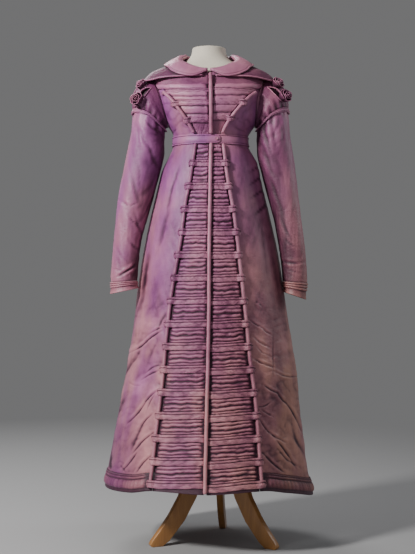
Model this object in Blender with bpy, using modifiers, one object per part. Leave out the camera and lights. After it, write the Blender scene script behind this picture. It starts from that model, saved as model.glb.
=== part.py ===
# Wadded silk coat dress of about 1820 on a limbless dress form with a three-legged wooden stand.
# Metres, +Z up, front towards -Y, origin on the floor under the middle of the hem.
import math
from collections import namedtuple
from functools import lru_cache

import bpy
import bmesh
from mathutils import Vector

# Walls, gaps and the heights that the pieces share
CLOTH = 0.0025
SEAM = 0.0003
WAIST = 1.190
BELT_LOW = 1.1755
BELT_HIGH = 1.2045
HEM_BAND_TALL = 0.0505
FRONT_EDGE = 0.0002
FRONT_STRIP = 0.0046
RUCHE_START = 0.0040
RUCHE_FULL = 0.0125
RUCHE_STOP = 0.0120
RAIL_SEAM = 0.0046
RAIL_RADIUS = 0.005
RAIL_LIFT = 0.0056
ROULEAU_RADIUS = 0.0053
ROULEAU_LIFT = 0.0083
TAB_WALL = 0.0016

# Half widths and depths of the closed garment, each measured from x = 0 and y = 0
Section = namedtuple("Section", "height left right front back middle squareness")
BODY = (
    Section(0.130, 0.3155, 0.3125, 0.312, 0.3115, 0.000, 2.0),
    Section(0.165, 0.311, 0.307, 0.307, 0.307, 0.000, 2.0),
    Section(0.220, 0.3025, 0.2935, 0.2965, 0.298, 0.000, 2.0),
    Section(0.290, 0.289, 0.2845, 0.286, 0.290, 0.000, 2.0),
    Section(0.380, 0.272, 0.273, 0.271, 0.276, 0.000, 2.0),
    Section(0.490, 0.251, 0.264, 0.252, 0.258, 0.000, 2.0),
    Section(0.586, 0.234, 0.249, 0.236, 0.243, 0.000, 2.0),
    Section(0.667, 0.223, 0.236, 0.2225, 0.229, -0.001, 2.0),
    Section(0.751, 0.213, 0.224, 0.2085, 0.213, -0.002, 2.0),
    Section(0.826, 0.202, 0.212, 0.1965, 0.198, -0.003, 2.0),
    Section(0.901, 0.189, 0.198, 0.1845, 0.183, -0.004, 2.0),
    Section(0.958, 0.177, 0.185, 0.1755, 0.171, -0.006, 2.0),
    Section(1.015, 0.163, 0.171, 0.1665, 0.158, -0.009, 2.0),
    Section(1.072, 0.149, 0.156, 0.157, 0.142, -0.013, 2.05),
    Section(1.102, 0.141, 0.150, 0.151, 0.132, -0.016, 2.1),
    Section(1.132, 0.127, 0.142, 0.145, 0.119, -0.020, 2.1),
    Section(1.156, 0.114, 0.128, 0.139, 0.102, -0.024, 2.15),
    Section(1.178, 0.106, 0.116, 0.131, 0.080, -0.027, 2.2),
    Section(1.200, 0.105, 0.114, 0.128, 0.072, -0.028, 2.2),
    Section(1.216, 0.108, 0.121, 0.131, 0.072, -0.028, 2.2),
    Section(1.242, 0.124, 0.138, 0.141, 0.075, -0.029, 2.2),
    Section(1.270, 0.136, 0.146, 0.152, 0.080, -0.030, 2.25),
    Section(1.300, 0.147, 0.150, 0.156, 0.086, -0.030, 2.3),
    Section(1.337, 0.156, 0.156, 0.146, 0.092, -0.030, 2.4),
    Section(1.360, 0.163, 0.163, 0.132, 0.094, -0.030, 2.5),
    Section(1.375, 0.162, 0.162, 0.122, 0.093, -0.028, 2.5),
    Section(1.390, 0.153, 0.153, 0.112, 0.089, -0.026, 2.4),
    Section(1.405, 0.137, 0.137, 0.103, 0.084, -0.023, 2.3),
    Section(1.425, 0.100, 0.100, 0.091, 0.076, -0.019, 2.2),
    Section(1.440, 0.073, 0.073, 0.084, 0.068, -0.015, 2.0),
    Section(1.455, 0.061, 0.061, 0.078, 0.062, -0.010, 2.0),
    Section(1.475, 0.058, 0.058, 0.074, 0.060, -0.008, 2.0),
)
# Outside of the pelerine that lies on the shoulders
CAPE = (
    Section(1.290, 0.216, 0.216, 0.168, 0.092, -0.030, 2.3),
    Section(1.330, 0.210, 0.210, 0.1565, 0.0995, -0.030, 2.3),
    Section(1.360, 0.2025, 0.2025, 0.1415, 0.1025, -0.030, 2.4),
    Section(1.378, 0.191, 0.191, 0.130, 0.1015, -0.028, 2.4),
    Section(1.390, 0.179, 0.179, 0.1215, 0.0975, -0.026, 2.4),
    Section(1.399, 0.1655, 0.1655, 0.1155, 0.0945, -0.025, 2.4),
    Section(1.416, 0.129, 0.129, 0.1035, 0.0870, -0.022, 2.3),
    Section(1.426, 0.1065, 0.1065, 0.0965, 0.0815, -0.019, 2.2),
    Section(1.440, 0.079, 0.079, 0.0885, 0.0735, -0.015, 2.1),
)

# Height and sideways place of the lines that run down the front
Mark = namedtuple("Mark", "height x")
RAIL_LEFT = (
    Mark(0.205, -0.1624), Mark(0.374, -0.1436), Mark(0.501, -0.1283), Mark(0.628, -0.1176),
    Mark(0.764, -0.1016), Mark(0.890, -0.0800), Mark(0.998, -0.0668), Mark(1.063, -0.0545),
    Mark(1.170, -0.0387),
)
RAIL_RIGHT = (
    Mark(0.205, 0.1450), Mark(0.301, 0.1381), Mark(0.439, 0.1281), Mark(0.561, 0.1130),
    Mark(0.691, 0.1010), Mark(0.819, 0.0870), Mark(0.963, 0.0707), Mark(1.081, 0.0505),
    Mark(1.170, 0.0400),
)
BODICE_RAIL_LEFT = (
    Mark(1.190, -0.0310), Mark(1.202, -0.0379), Mark(1.228, -0.0523), Mark(1.253, -0.0668),
    Mark(1.277, -0.0842), Mark(1.307, -0.1076), Mark(1.330, -0.1300), Mark(1.342, -0.1440),
)
BODICE_RAIL_RIGHT = (
    Mark(1.190, 0.0285), Mark(1.202, 0.0352), Mark(1.228, 0.0465), Mark(1.259, 0.0661),
    Mark(1.291, 0.0926), Mark(1.308, 0.1085), Mark(1.330, 0.1330), Mark(1.342, 0.1480),
)
CENTRE_LINE = (
    Mark(0.190, -0.0114), Mark(0.363, -0.0078), Mark(0.661, -0.0011), Mark(0.911, 0.0009),
    Mark(1.166, 0.0048), Mark(1.201, 0.0056), Mark(1.381, 0.0039),
)
RAIL_END = 1.3385

# Height of the hem by its turn from the front, in degrees towards +X
HEM = ((0, 0.188), (31, 0.192), (47, 0.178), (90, 0.140), (135, 0.150), (180, 0.165),
       (225, 0.166), (270, 0.168), (313, 0.179), (329, 0.192), (360, 0.188))

# The tabs of the front: fifteen a side on the skirt, three a side on the bodice
SKIRT_TABS = 15
FIRST_TAB = 1.117
TAB_PITCH = 0.0668
TAB_PITCH_LOSS = 0.00015
TAB_TALL_TOP = 0.0195
TAB_TALL_HEM = 0.0220
TAB_PAST_RAIL = 0.0115
Band = namedtuple("Band", "low high")
BODICE_TABS = (Band(1.241, 1.257), Band(1.288, 1.300), Band(1.332, 1.342))
TOP_TAB_END = 0.137

# One bay of ruching between two tabs: share of its height, lift of the pleat
Pleat = namedtuple("Pleat", "share lift")
SKIRT_BAY = (Pleat(0.15, 0.0056), Pleat(0.31, 0.0012), Pleat(0.41, 0.0046), Pleat(0.50, 0.0018),
             Pleat(0.59, 0.0046), Pleat(0.69, 0.0012), Pleat(0.85, 0.0056))
BODICE_BAY = (Pleat(0.25, 0.0042), Pleat(0.50, 0.0010), Pleat(0.75, 0.0042))
TAB_BED = 0.0018

# Armhole: an ellipse seen from the side, with the angles of the shared seam points
ARMHOLE_HEIGHT = 1.305
ARMHOLE_TALL = 0.070
ARMHOLE_DEEP = 0.055
ARMHOLE_MIDDLE = -0.030
ARMHOLE_ANGLES = (0, 20, 40, 60, 82, 105, 130, 155, 180)

# Levels that neighbouring panels share, so that their edges run alike
HEM_TOP = 0.215
SKIRT_LEVELS = (0.30, 0.37, 0.44, 0.51, 0.58, 0.65, 0.73, 0.82, 0.91, 1.00, 1.065, 1.110, 1.140,
                1.160, 1.177, WAIST - SEAM)
BODICE_LEVELS = (WAIST + SEAM, 1.206, 1.220, 1.235, 1.2416, 1.2600, 1.2869, 1.3147, 1.3300,
                 RAIL_END)
BODICE_SEAM = 0.0046
SIDE_SEAM = 0.00055
BACK_SEAM = 0.0003
FRONT_SHARES = (0, 0.065, 0.125, 0.29, 0.46, 0.64, 0.82, 1)
FRONT_COLUMNS = len(FRONT_SHARES) - 1
BACK_COLUMNS = 24

# Neck seam by the turn from the front, the same at both sides
Knot = namedtuple("Knot", "turn height")
NECK_SEAM = (Knot(5.5, 1.3868), Knot(17, 1.3920), Knot(27, 1.3980), Knot(39, 1.4055),
             Knot(53, 1.4155), Knot(70, 1.4270), Knot(84, 1.4347), Knot(90, 1.4380),
             Knot(112, 1.4400), Knot(180, 1.4405))
NECK_OPEN = NECK_SEAM[:7]

# A sleeve ring by its inner and outer edges as seen from the front
Ring = namedtuple("Ring", "in_x in_z out_x out_z deep y")
SLEEVE_LEFT = (
    Ring(0.1195, 1.2350, 0.1625, 1.375, 0.0550, -0.030),
    Ring(0.1262, 1.2335, 0.1860, 1.361, 0.0565, -0.031),
    Ring(0.1300, 1.2300, 0.2035, 1.336, 0.0580, -0.032),
    Ring(0.1315, 1.2240, 0.2170, 1.300, 0.0590, -0.033),
    Ring(0.1320, 1.2140, 0.2275, 1.259, 0.0600, -0.034),
    Ring(0.1325, 1.1910, 0.2315, 1.216, 0.0600, -0.035),
    Ring(0.1345, 1.1470, 0.2425, 1.163, 0.0590, -0.036),
    Ring(0.1540, 1.0630, 0.2590, 1.077, 0.0550, -0.040),
    Ring(0.1745, 0.9900, 0.2720, 1.000, 0.0505, -0.043),
    Ring(0.1975, 0.9090, 0.2805, 0.917, 0.0460, -0.047),
    Ring(0.2075, 0.8300, 0.2868, 0.834, 0.0415, -0.051),
    Ring(0.2125, 0.7800, 0.2900, 0.776, 0.0400, -0.054),
)
SLEEVE_RIGHT = (
    Ring(0.1335, 1.2350, 0.1625, 1.375, 0.0550, -0.030),
    Ring(0.1400, 1.2335, 0.1880, 1.362, 0.0565, -0.031),
    Ring(0.1428, 1.2300, 0.2090, 1.337, 0.0580, -0.032),
    Ring(0.1438, 1.2240, 0.2255, 1.303, 0.0590, -0.033),
    Ring(0.1435, 1.2140, 0.2365, 1.261, 0.0600, -0.034),
    Ring(0.1425, 1.1910, 0.2405, 1.216, 0.0600, -0.035),
    Ring(0.1450, 1.1470, 0.2480, 1.163, 0.0580, -0.036),
    Ring(0.1590, 1.0850, 0.2575, 1.097, 0.0550, -0.039),
    Ring(0.1810, 1.0040, 0.2665, 1.014, 0.0500, -0.043),
    Ring(0.1990, 0.9260, 0.2760, 0.934, 0.0450, -0.047),
    Ring(0.2120, 0.8420, 0.2870, 0.847, 0.0410, -0.051),
    Ring(0.2175, 0.7780, 0.2905, 0.773, 0.0390, -0.054),
)
WRIST_LEFT = Ring(0.2110, 0.7565, 0.2890, 0.7405, 0.0400, -0.056)
WRIST_RIGHT = Ring(0.2225, 0.7450, 0.2830, 0.7240, 0.0360, -0.056)

# The stand
STAND_X = 0.024
STAND_Y = -0.005
POST_RADIUS = 0.016
HUB_RADIUS = 0.0445
HUB_LOW = 0.190
HUB_HIGH = 0.345
LEG_THICK = 0.020
LEG_TURNS = (84, 204, 324)
FORM_FLOOR = 0.915
FORM_TOP = 1.475

SILK = ((0.29, 0.13, 0.22, 1.0), 0.45)
SILK_EDGE = ((0.36, 0.19, 0.27, 1.0), 0.40)
LINEN = ((0.72, 0.66, 0.55, 1.0), 0.90)
WOOD = ((0.36, 0.19, 0.08, 1.0), 0.45)
BUTTON = ((0.25, 0.12, 0.16, 1.0), 0.40)


# Curves through table rows

def smooth_through(knots, values, at):
    last = len(knots) - 1
    if at <= knots[0]:
        return values[0]
    if at >= knots[last]:
        return values[last]
    span = 0
    while at > knots[span + 1]:
        span += 1

    def slope(index):
        before = max(index - 1, 0)
        after = min(index + 1, last)
        return (values[after] - values[before]) / (knots[after] - knots[before])

    width = knots[span + 1] - knots[span]
    t = (at - knots[span]) / width
    rise = 3 * t * t - 2 * t * t * t
    start = values[span] * (1 - rise) + values[span + 1] * rise
    lead = slope(span) * (t * t * t - 2 * t * t + t)
    trail = slope(span + 1) * (t * t * t - t * t)
    return start + width * (lead + trail)


def row_through(table, knots, at):
    return type(table[0])(*(smooth_through(knots, column, at) for column in zip(*table)))


@lru_cache(maxsize=None)
def section_at(table, height):
    return row_through(table, [row.height for row in table], height)


@lru_cache(maxsize=None)
def line_at(table, height):
    return smooth_through([mark.height for mark in table], [mark.x for mark in table], height)


@lru_cache(maxsize=None)
def seam_line_at(table, levels, height):
    # The same line as straight runs between the levels that two panels share
    if height <= levels[0] or height >= levels[-1]:
        return line_at(table, height)
    for low, high in zip(levels, levels[1:]):
        if height <= high:
            share = (height - low) / (high - low)
            return mix(line_at(table, low), line_at(table, high), share)


def hem_at(turn):
    return smooth_through([row[0] for row in HEM], [row[1] for row in HEM], turn % 360)


def mix(low, high, share):
    return low + (high - low) * share


# Points on the garment. A turn is in degrees, 0 at the front and 90 at +X.

def surface(table, height, turn):
    section = section_at(table, height)
    across = math.sin(math.radians(turn))
    ahead = math.cos(math.radians(turn))
    side = section.right if across > 0 else section.left
    if ahead > 0:
        depth = section.front + section.middle
    else:
        depth = section.back - section.middle
    power = 2 / section.squareness
    x = math.copysign(side * abs(across) ** power, across)
    y = section.middle - math.copysign(depth * abs(ahead) ** power, ahead)
    return Vector((x, y, height))


def body_point(height, turn, out=0.0, table=BODY):
    small_turn = 0.6
    small_rise = 0.002
    here = surface(table, height, turn)
    around = surface(table, height, turn + small_turn) - surface(table, height, turn - small_turn)
    upward = surface(table, height + small_rise, turn) - surface(table, height - small_rise, turn)
    return here + around.cross(upward).normalized() * out


def turn_at(height, x, table=BODY):
    section = section_at(table, height)
    side = section.right if x > 0 else section.left
    share = min(abs(x) / side, 1.0) ** (section.squareness / 2)
    return math.copysign(math.degrees(math.asin(share)), x)


def turn_at_depth(height, y, side):
    # The turn of the side of the garment where its surface has this y
    section = section_at(BODY, height)
    if y < section.middle:
        share = (section.middle - y) / (section.front + section.middle)
        turn = math.degrees(math.acos(min(share, 1.0) ** (section.squareness / 2)))
    else:
        share = (y - section.middle) / (section.back - section.middle)
        turn = 180 - math.degrees(math.acos(min(share, 1.0) ** (section.squareness / 2)))
    return side * turn


def armhole_turn(height, side, to_back):
    # Turn of the armhole's edge at a height, or of the side and shoulder seams beyond it
    reach = (height - ARMHOLE_HEIGHT) / ARMHOLE_TALL
    depth = ARMHOLE_DEEP * math.sqrt(max(0.0, 1 - reach * reach))
    if depth < 0.0005:
        return side * 90
    y = ARMHOLE_MIDDLE + depth if to_back else ARMHOLE_MIDDLE - depth
    return turn_at_depth(height, y, side)


def armhole_height(angle):
    return ARMHOLE_HEIGHT + ARMHOLE_TALL * math.cos(math.radians(angle))


# Builders of solids

def put_in_scene(name, data, finish):
    colour, roughness = finish
    material = bpy.data.materials.new(name + "_finish")
    material.use_nodes = True
    shader = material.node_tree.nodes["Principled BSDF"]
    shader.inputs["Base Color"].default_value = colour
    shader.inputs["Roughness"].default_value = roughness
    shader.inputs["Metallic"].default_value = 0.0
    data.materials.append(material)
    thing = bpy.data.objects.new(name, data)
    dress.objects.link(thing)
    return thing


def mesh_from(work, name):
    mesh = bpy.data.meshes.new(name)
    work.to_mesh(mesh)
    work.free()
    return mesh


def sheet(name, rows, columns, place, wall=CLOTH, closed=False, open_cells=(), flip=False,
          finish=SILK):
    # A grid of cloth through place(row, column), thickened away from its outer face
    work = bmesh.new()
    bmesh.ops.create_grid(work, x_segments=columns, y_segments=rows, size=0.5)
    holes = []
    for face in work.faces:
        centre = face.calc_center_median()
        cell = (int((centre.y + 0.5) * rows), int((centre.x + 0.5) * columns))
        if cell in open_cells:
            holes.append(face)
    for corner in work.verts:
        row = round((corner.co.y + 0.5) * rows)
        column = round((corner.co.x + 0.5) * columns)
        corner.co = place(row, column)
    bmesh.ops.delete(work, geom=holes, context="FACES")
    if closed:
        bmesh.ops.remove_doubles(work, verts=work.verts, dist=0.00001)
    if flip:
        bmesh.ops.reverse_faces(work, faces=work.faces)
    thing = put_in_scene(name, mesh_from(work, name), finish)
    solidify = thing.modifiers.new("wall", "SOLIDIFY")
    solidify.thickness = wall
    solidify.offset = -1
    return thing


def close_side(work, outer, inner):
    # Triangles between two runs of points, stepping along the run that lags
    i = 0
    j = 0
    while i < len(outer) - 1 or j < len(inner) - 1:
        outer_left = i < len(outer) - 1
        inner_left = j < len(inner) - 1
        if outer_left and (not inner_left or outer[i + 1].co.z <= inner[j + 1].co.z):
            work.faces.new((outer[i], outer[i + 1], inner[j]))
            i += 1
        else:
            work.faces.new((outer[i], inner[j + 1], inner[j]))
            j += 1


def relief_wall(name, outer, inner, closed=False, finish=SILK):
    # A wall whose outer points carry the pleats over a plain inside with fewer rows
    work = bmesh.new()
    outer = [[work.verts.new(point) for point in row] for row in outer]
    inner = [[work.verts.new(point) for point in row] for row in inner]
    columns = len(outer[0])
    spans = columns if closed else columns - 1
    pairs = list(zip(outer, outer[1:])) + list(zip(inner, inner[1:]))
    pairs += [(outer[0], inner[0]), (outer[-1], inner[-1])]
    for low, high in pairs:
        for column in range(spans):
            after = (column + 1) % columns
            work.faces.new((low[column], low[after], high[after], high[column]))
    if not closed:
        for end in (0, -1):
            close_side(work, [row[end] for row in outer], [row[end] for row in inner])
    bmesh.ops.recalc_face_normals(work, faces=work.faces)
    return put_in_scene(name, mesh_from(work, name), finish)


def loft(name, rings, finish):
    # A closed solid through rings of points, with its two ends filled
    work = bmesh.new()
    rings = [[work.verts.new(point) for point in ring] for ring in rings]
    for low, high in zip(rings, rings[1:]):
        for index in range(len(low)):
            after = (index + 1) % len(low)
            work.faces.new((low[index], low[after], high[after], high[index]))
    work.faces.new(rings[0])
    work.faces.new(rings[-1])
    bmesh.ops.recalc_face_normals(work, faces=work.faces)
    return put_in_scene(name, mesh_from(work, name), finish)


def cord(name, points, radius, roundness=2, finish=SILK_EDGE):
    curve = bpy.data.curves.new(name, "CURVE")
    curve.dimensions = "3D"
    curve.bevel_depth = radius
    curve.bevel_resolution = roundness
    curve.use_fill_caps = True
    line = curve.splines.new("POLY")
    line.points.add(len(points) - 1)
    for spot, point in zip(line.points, points):
        spot.co = (point.x, point.y, point.z, 1.0)
    return put_in_scene(name, curve, finish)


# The ruched fronts

def tab_bands():
    # Low and high edges of each skirt tab at the rail, from the top down
    bands = []
    for index in range(SKIRT_TABS):
        centre = FIRST_TAB - TAB_PITCH * index + TAB_PITCH_LOSS * index * index
        tall = mix(TAB_TALL_TOP, TAB_TALL_HEM, index / (SKIRT_TABS - 1))
        bands.append(Band(centre - tall / 2, centre + tall / 2))
    return bands


def bay_rows(low, high, pleats):
    rows = [Pleat(low, TAB_BED)]
    rows += [Pleat(mix(low, high, pleat.share), pleat.lift) for pleat in pleats]
    return rows + [Pleat(high, TAB_BED)]


def tab_drift(height, side, share):
    # The front ends of the tabs sit higher at the left and lower at the right near the hem
    lean = 0.005 if side < 0 else -0.006
    return lean * (1 - share) * min(1.0, max(0.0, (1.12 - height) / 0.9))


def skirt_rail_x(height, side):
    return seam_line_at(RAIL_LEFT if side < 0 else RAIL_RIGHT, SKIRT_LEVELS, height)


def bodice_rail_x(height, side):
    line = BODICE_RAIL_LEFT if side < 0 else BODICE_RAIL_RIGHT
    return seam_line_at(line, BODICE_LEVELS, height)


def front_stops(height, side, rail):
    # Sideways places from the front edge to just before a rail
    centre = line_at(CENTRE_LINE, height)
    full = centre + side * RUCHE_FULL
    last = rail - side * RUCHE_STOP
    return centre + side * RUCHE_START, full, mix(full, last, 0.5), last


def skirt_panel_x(height, side, column):
    # The five columns of a ruched skirt panel, from the front edge to the rail
    rail = skirt_rail_x(height, side)
    return (front_stops(height, side, rail) + (rail - side * RAIL_SEAM,))[column]


def ruched_skirt_panel(side, name):
    bands = tab_bands()
    low = bands[-1].high
    drifts = (0, 0, 0.5, 1, 1)
    rows = [Pleat(0.0, 0.0), Pleat(bands[-1].low, TAB_BED)]
    for band in reversed(bands[:-1]):
        rows += bay_rows(low, band.low, SKIRT_BAY)
        low = band.high
    rows += bay_rows(low, 1.172, BODICE_BAY)[:-1]
    rows += [Pleat(1.172, 0.0), Pleat(WAIST - SEAM, 0.0)]
    lifts = (0, 1, 1, 1, 0)

    def place(height, column, out):
        x = skirt_panel_x(max(height, HEM_TOP), side, column)
        if height == 0.0:
            height = hem_at(turn_at(HEM_TOP, x))
        else:
            height += tab_drift(height, side, drifts[column])
        return body_point(height, turn_at(height, x), out)

    outer = [[place(row.share, column, row.lift * lifts[column]) for column in range(5)]
             for row in rows]
    plain = (0.0,) + SKIRT_LEVELS
    inner = [[place(height, column, -CLOTH) for column in range(5)] for height in plain]
    return relief_wall(name, outer, inner)


def comb(name, side, levels, bands, columns, place):
    # Tabs joined by the narrow strip along the front edge, which the rouleau covers
    cells = set()
    for row, (low, high) in enumerate(zip(levels, levels[1:])):
        middle = (low + high) / 2
        if not any(band.low < middle < band.high for band in bands):
            cells |= {(row, column) for column in range(1, columns)}
    return sheet(name, len(levels) - 1, columns, place, wall=TAB_WALL, open_cells=cells,
                 flip=side < 0, finish=SILK_EDGE)


def tab_levels(start, between, end, bands):
    levels = [start, end] + list(between)
    for band in bands:
        levels += [band.low, band.high]
    return sorted(levels)


# Lift of a tab from the front edge over the ruching, over the rail and down beyond it
TAB_LIFTS = (0.0026, 0.0026, 0.0042, 0.0042, 0.0042, 0.0130, 0.0130, 0.0030)
BODICE_TAB_LIFTS = (0.0026, 0.0026, 0.0050, 0.0050, 0.0050, 0.0130, 0.0130, 0.0034)
TOP_TAB_LIFTS = (0.0026, 0.0026, 0.0050, 0.0050, 0.0050, 0.0050, 0.0050, 0.0050)


def tab_stops(height, side, rail):
    first, full, middle, last = front_stops(height, side, rail)
    centre = line_at(CENTRE_LINE, height)
    return (centre + side * FRONT_EDGE, centre + side * FRONT_STRIP, full, middle, last,
            rail - side * 0.004, rail + side * 0.004, rail + side * TAB_PAST_RAIL)


def skirt_tabs(side, name):
    bands = tab_bands()
    levels = tab_levels(bands[-1].low - 0.008, (1.145,), 1.174, bands)
    shares = (0, 0, 0, 0.5, 1, 1, 1, 1)

    def place(row, column):
        height = levels[row]
        x = tab_stops(height, side, skirt_rail_x(height, side))[column]
        height += tab_drift(height, side, shares[column])
        return body_point(height, turn_at(height, x), TAB_LIFTS[column])

    return comb(name, side, levels, bands, 7, place)


def bodice_edge_x(height, side):
    # Seam line just inside the bodice rail, and the armhole above the rail's end
    if height <= RAIL_END:
        return bodice_rail_x(height, side) - side * BODICE_SEAM
    return surface(BODY, height, armhole_turn(height, side, False)).x


def shoulder_turn(height, side):
    # Side and shoulder seams lie at the sides, with a gap between their two panels
    half_gap = SEAM * 2 / section_at(BODY, height).right
    return 90 - math.degrees(half_gap)


def neck_turn(height):
    return smooth_through([knot.height - SEAM * 2 for knot in NECK_OPEN],
                          [knot.turn for knot in NECK_OPEN], height)


def bodice_turns(height, side):
    # The columns of a ruched bodice front as turns, from the front edge outwards
    inner = turn_at(height, line_at(CENTRE_LINE, height) + side * RUCHE_START)
    if height > ARMHOLE_HEIGHT + ARMHOLE_TALL + SEAM:
        inner = side * neck_turn(height)
    if height <= RAIL_END:
        outer = turn_at(height, bodice_edge_x(height, side))
    else:
        outer = armhole_turn(height, side, False)
    outer = side * min(abs(outer), shoulder_turn(height, side))
    return [mix(inner, outer, share) for share in (0, 0.14, 0.36, 0.6, 0.84, 1)]


def ruched_bodice_panel(side, name):
    rows = [Pleat(WAIST + SEAM, 0.0)]
    low = BELT_HIGH + 0.002
    for band in BODICE_TABS[:2]:
        rows += bay_rows(low, band.low, BODICE_BAY)
        low = band.high
    rows[1] = Pleat(BELT_HIGH + 0.002, 0.0)
    top = [armhole_height(angle) for angle in (40, 20, 0)]
    rows += [Pleat(low, TAB_BED), Pleat(1.3105, 0.0042), Pleat(1.3170, 0.0010),
             Pleat(1.3245, 0.0042), Pleat(1.3320, TAB_BED), Pleat(RAIL_END, TAB_BED),
             Pleat(RAIL_END + 0.001, TAB_BED), Pleat(1.342, TAB_BED), Pleat(1.350, 0.0042),
             Pleat(top[0], 0.0010), Pleat(1.3655, 0.0042), Pleat(top[1], 0.0), Pleat(top[2], 0.0)]
    neck = [knot.height - SEAM * 2 for knot in NECK_OPEN]
    rows += [Pleat(height, 0.0) for height in neck]
    lifts = (0, 1, 1, 1, 0.8, 0)

    def place(height, column, out):
        return body_point(height, bodice_turns(height, side)[column], out)

    outer = [[place(row.share, column, row.lift * lifts[column]) for column in range(6)]
             for row in rows]
    plain = list(BODICE_LEVELS) + [RAIL_END + 0.001] + top + neck
    inner = [[place(height, column, -CLOTH) for column in range(6)] for height in plain]
    return relief_wall(name, outer, inner)


def bodice_tabs(side, name):
    levels = tab_levels(BELT_HIGH + 0.001, (1.222, 1.2725, 1.310, 1.321, 1.360), 1.380, BODICE_TABS)

    def place(row, column):
        height = levels[row]
        stops = tab_stops(height, side, bodice_rail_x(height, side))
        x = stops[column]
        lift = BODICE_TAB_LIFTS[column]
        if height > BODICE_TABS[1].high:
            lift = TOP_TAB_LIFTS[column]
            if column > 2:
                x = mix(stops[2], side * TOP_TAB_END, (column - 2) / 5)
        return body_point(height, turn_at(height, x), lift)

    return comb(name, side, levels, BODICE_TABS, 7, place)


# Plain panels

Fold = namedtuple("Fold", "turn height end_turn end_height width lift")
FOLDS = (
    Fold(-28, 0.50, -62, 0.26, 0.030, 0.0050), Fold(-30, 0.36, -58, 0.22, 0.026, 0.0040),
    Fold(-36, 0.72, -78, 0.52, 0.040, -0.0040), Fold(-34, 0.62, -80, 0.40, 0.034, 0.0045),
    Fold(26, 0.46, 60, 0.24, 0.030, 0.0050), Fold(27, 0.62, 58, 0.50, 0.030, -0.0045),
    Fold(36, 0.57, 78, 0.30, 0.036, 0.0060), Fold(44, 0.80, 84, 0.66, 0.040, -0.0040),
)


def fold_lift(height, turn):
    # Broad diagonal folds that run down and outwards from the rails
    lift = 0.0
    radius = 0.27
    for fold in FOLDS:
        along = Vector((math.radians(fold.end_turn - fold.turn) * radius,
                        fold.end_height - fold.height))
        here = Vector((math.radians(turn - fold.turn) * radius, height - fold.height))
        share = here.dot(along) / along.length_squared
        away = (here - along * min(max(share, 0.0), 1.0)).length
        lift += fold.lift * math.exp(-(away / fold.width) ** 2)
    return lift


def side_seam_turn(height):
    # Both panels stop a little short of the side, wider apart outside than inside
    return 90 - math.degrees(SIDE_SEAM / section_at(BODY, height).right)


def skirt_front_turns(height, side):
    inner = turn_at(height, skirt_panel_x(height, side, 4) + side * SEAM * 2)
    outer = side * side_seam_turn(height)
    return [mix(inner, outer, share) for share in FRONT_SHARES]


def skirt_front(side, name):
    top = len(SKIRT_LEVELS)

    def place(row, column):
        share = FRONT_SHARES[column]
        if row == 0:
            turn = skirt_front_turns(HEM_TOP, side)[column]
            height = hem_at(turn) + HEM_BAND_TALL + SEAM
        else:
            height = SKIRT_LEVELS[row - 1]
        turn = skirt_front_turns(height, side)[column]
        fade = min(1.0, max(0.0, share - 0.065) * 6) * min(1.0, (1 - share) * 6) * min(1.0, row)
        return body_point(height, turn, fold_lift(height, turn) * fade)

    return sheet(name, top, FRONT_COLUMNS, place, flip=side < 0)


def skirt_back_turns(height):
    edge = side_seam_turn(height)
    return [mix(180 - edge, 180 + edge, column / BACK_COLUMNS) for column in range(BACK_COLUMNS + 1)]


def skirt_back(side, name):
    # One half of the back, from the side seam to the seam down the centre
    levels = SKIRT_LEVELS[::2][:5] + SKIRT_LEVELS[9:]
    centre = BACK_COLUMNS // 2

    def place(row, half_column):
        column = half_column if side > 0 else half_column + centre
        if row == 0:
            turn = skirt_back_turns(HEM_TOP)[column]
            height = hem_at(turn) + HEM_BAND_TALL + SEAM
        else:
            height = levels[row - 1]
        turn = skirt_back_turns(height)[column]
        if column == centre:
            turn -= side * math.degrees(BACK_SEAM / section_at(BODY, height).back)
        middle = math.sin(math.radians(turn - 90))
        zigzag = 1 if column % 2 else -1
        gather = zigzag * 0.0035 * max(0.0, middle - 0.2) * min(1.0, max(0.0, (height - 0.62) / 0.4))
        if height > 1.13:
            gather = min(gather, 0.0) * 0.5
        flute = -0.009 * middle * math.cos(math.radians((turn - 180) * 8))
        flute *= min(1.0, max(0.0, (1.02 - height) / 0.6)) * min(1.0, row)
        return body_point(height, turn, gather + flute)

    return sheet(name, len(levels), centre, place)


def hem_band(name):
    # Wadded band with two pipings above it, round the hem from rail to rail behind
    Profile = namedtuple("Profile", "height lift")
    profile = (Profile(0.0, 0.0), Profile(0.008, 0.0006), Profile(0.0095, 0.0045),
               Profile(0.022, 0.0058), Profile(0.034, 0.0035), Profile(0.0425, 0.0042),
               Profile(HEM_BAND_TALL, 0.0))

    def turns_at(height):
        right = skirt_front_turns(height, 1)
        left = skirt_front_turns(height, -1)
        fixed_right = skirt_front_turns(HEM_TOP, 1)
        fixed_left = skirt_front_turns(HEM_TOP, -1)
        turns = [right[0]] + fixed_right[1:-1] + [90]
        turns += skirt_back_turns(HEM_TOP)[1:-1] + [270]
        return turns + [360 + turn for turn in reversed(fixed_left[1:-1])] + [360 + left[0]]

    count = len(turns_at(HEM_TOP))

    def place(height, lift, column):
        turn = turns_at(HEM_TOP)[column]
        height += hem_at(turn)
        turn = turns_at(max(height, HEM_TOP))[column]
        if column in (0, 1, count - 2, count - 1):
            lift = min(lift, 0.0)
        elif lift > 0.002:
            lift += 0.0009 if column % 2 else -0.0003
        return body_point(height, turn, lift)

    columns = range(count)
    outer = [[place(row.height, row.lift, column) for column in columns] for row in profile]
    inner = [[place(height, -CLOTH, column) for column in columns]
             for height in (0.0, HEM_BAND_TALL)]
    return relief_wall(name, outer, inner)


def bodice_side(side, name):
    levels = BODICE_LEVELS[:-1] + (RAIL_END - SEAM,)

    def place(row, column):
        height = levels[row]
        inner = turn_at(height, bodice_edge_x(height, side) + side * SEAM * 2.3)
        outer = side * min(abs(armhole_turn(height, side, False)), side_seam_turn(height))
        return body_point(height, mix(inner, outer, column / 4))

    return sheet(name, len(levels) - 1, 4, place, flip=side < 0)


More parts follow.
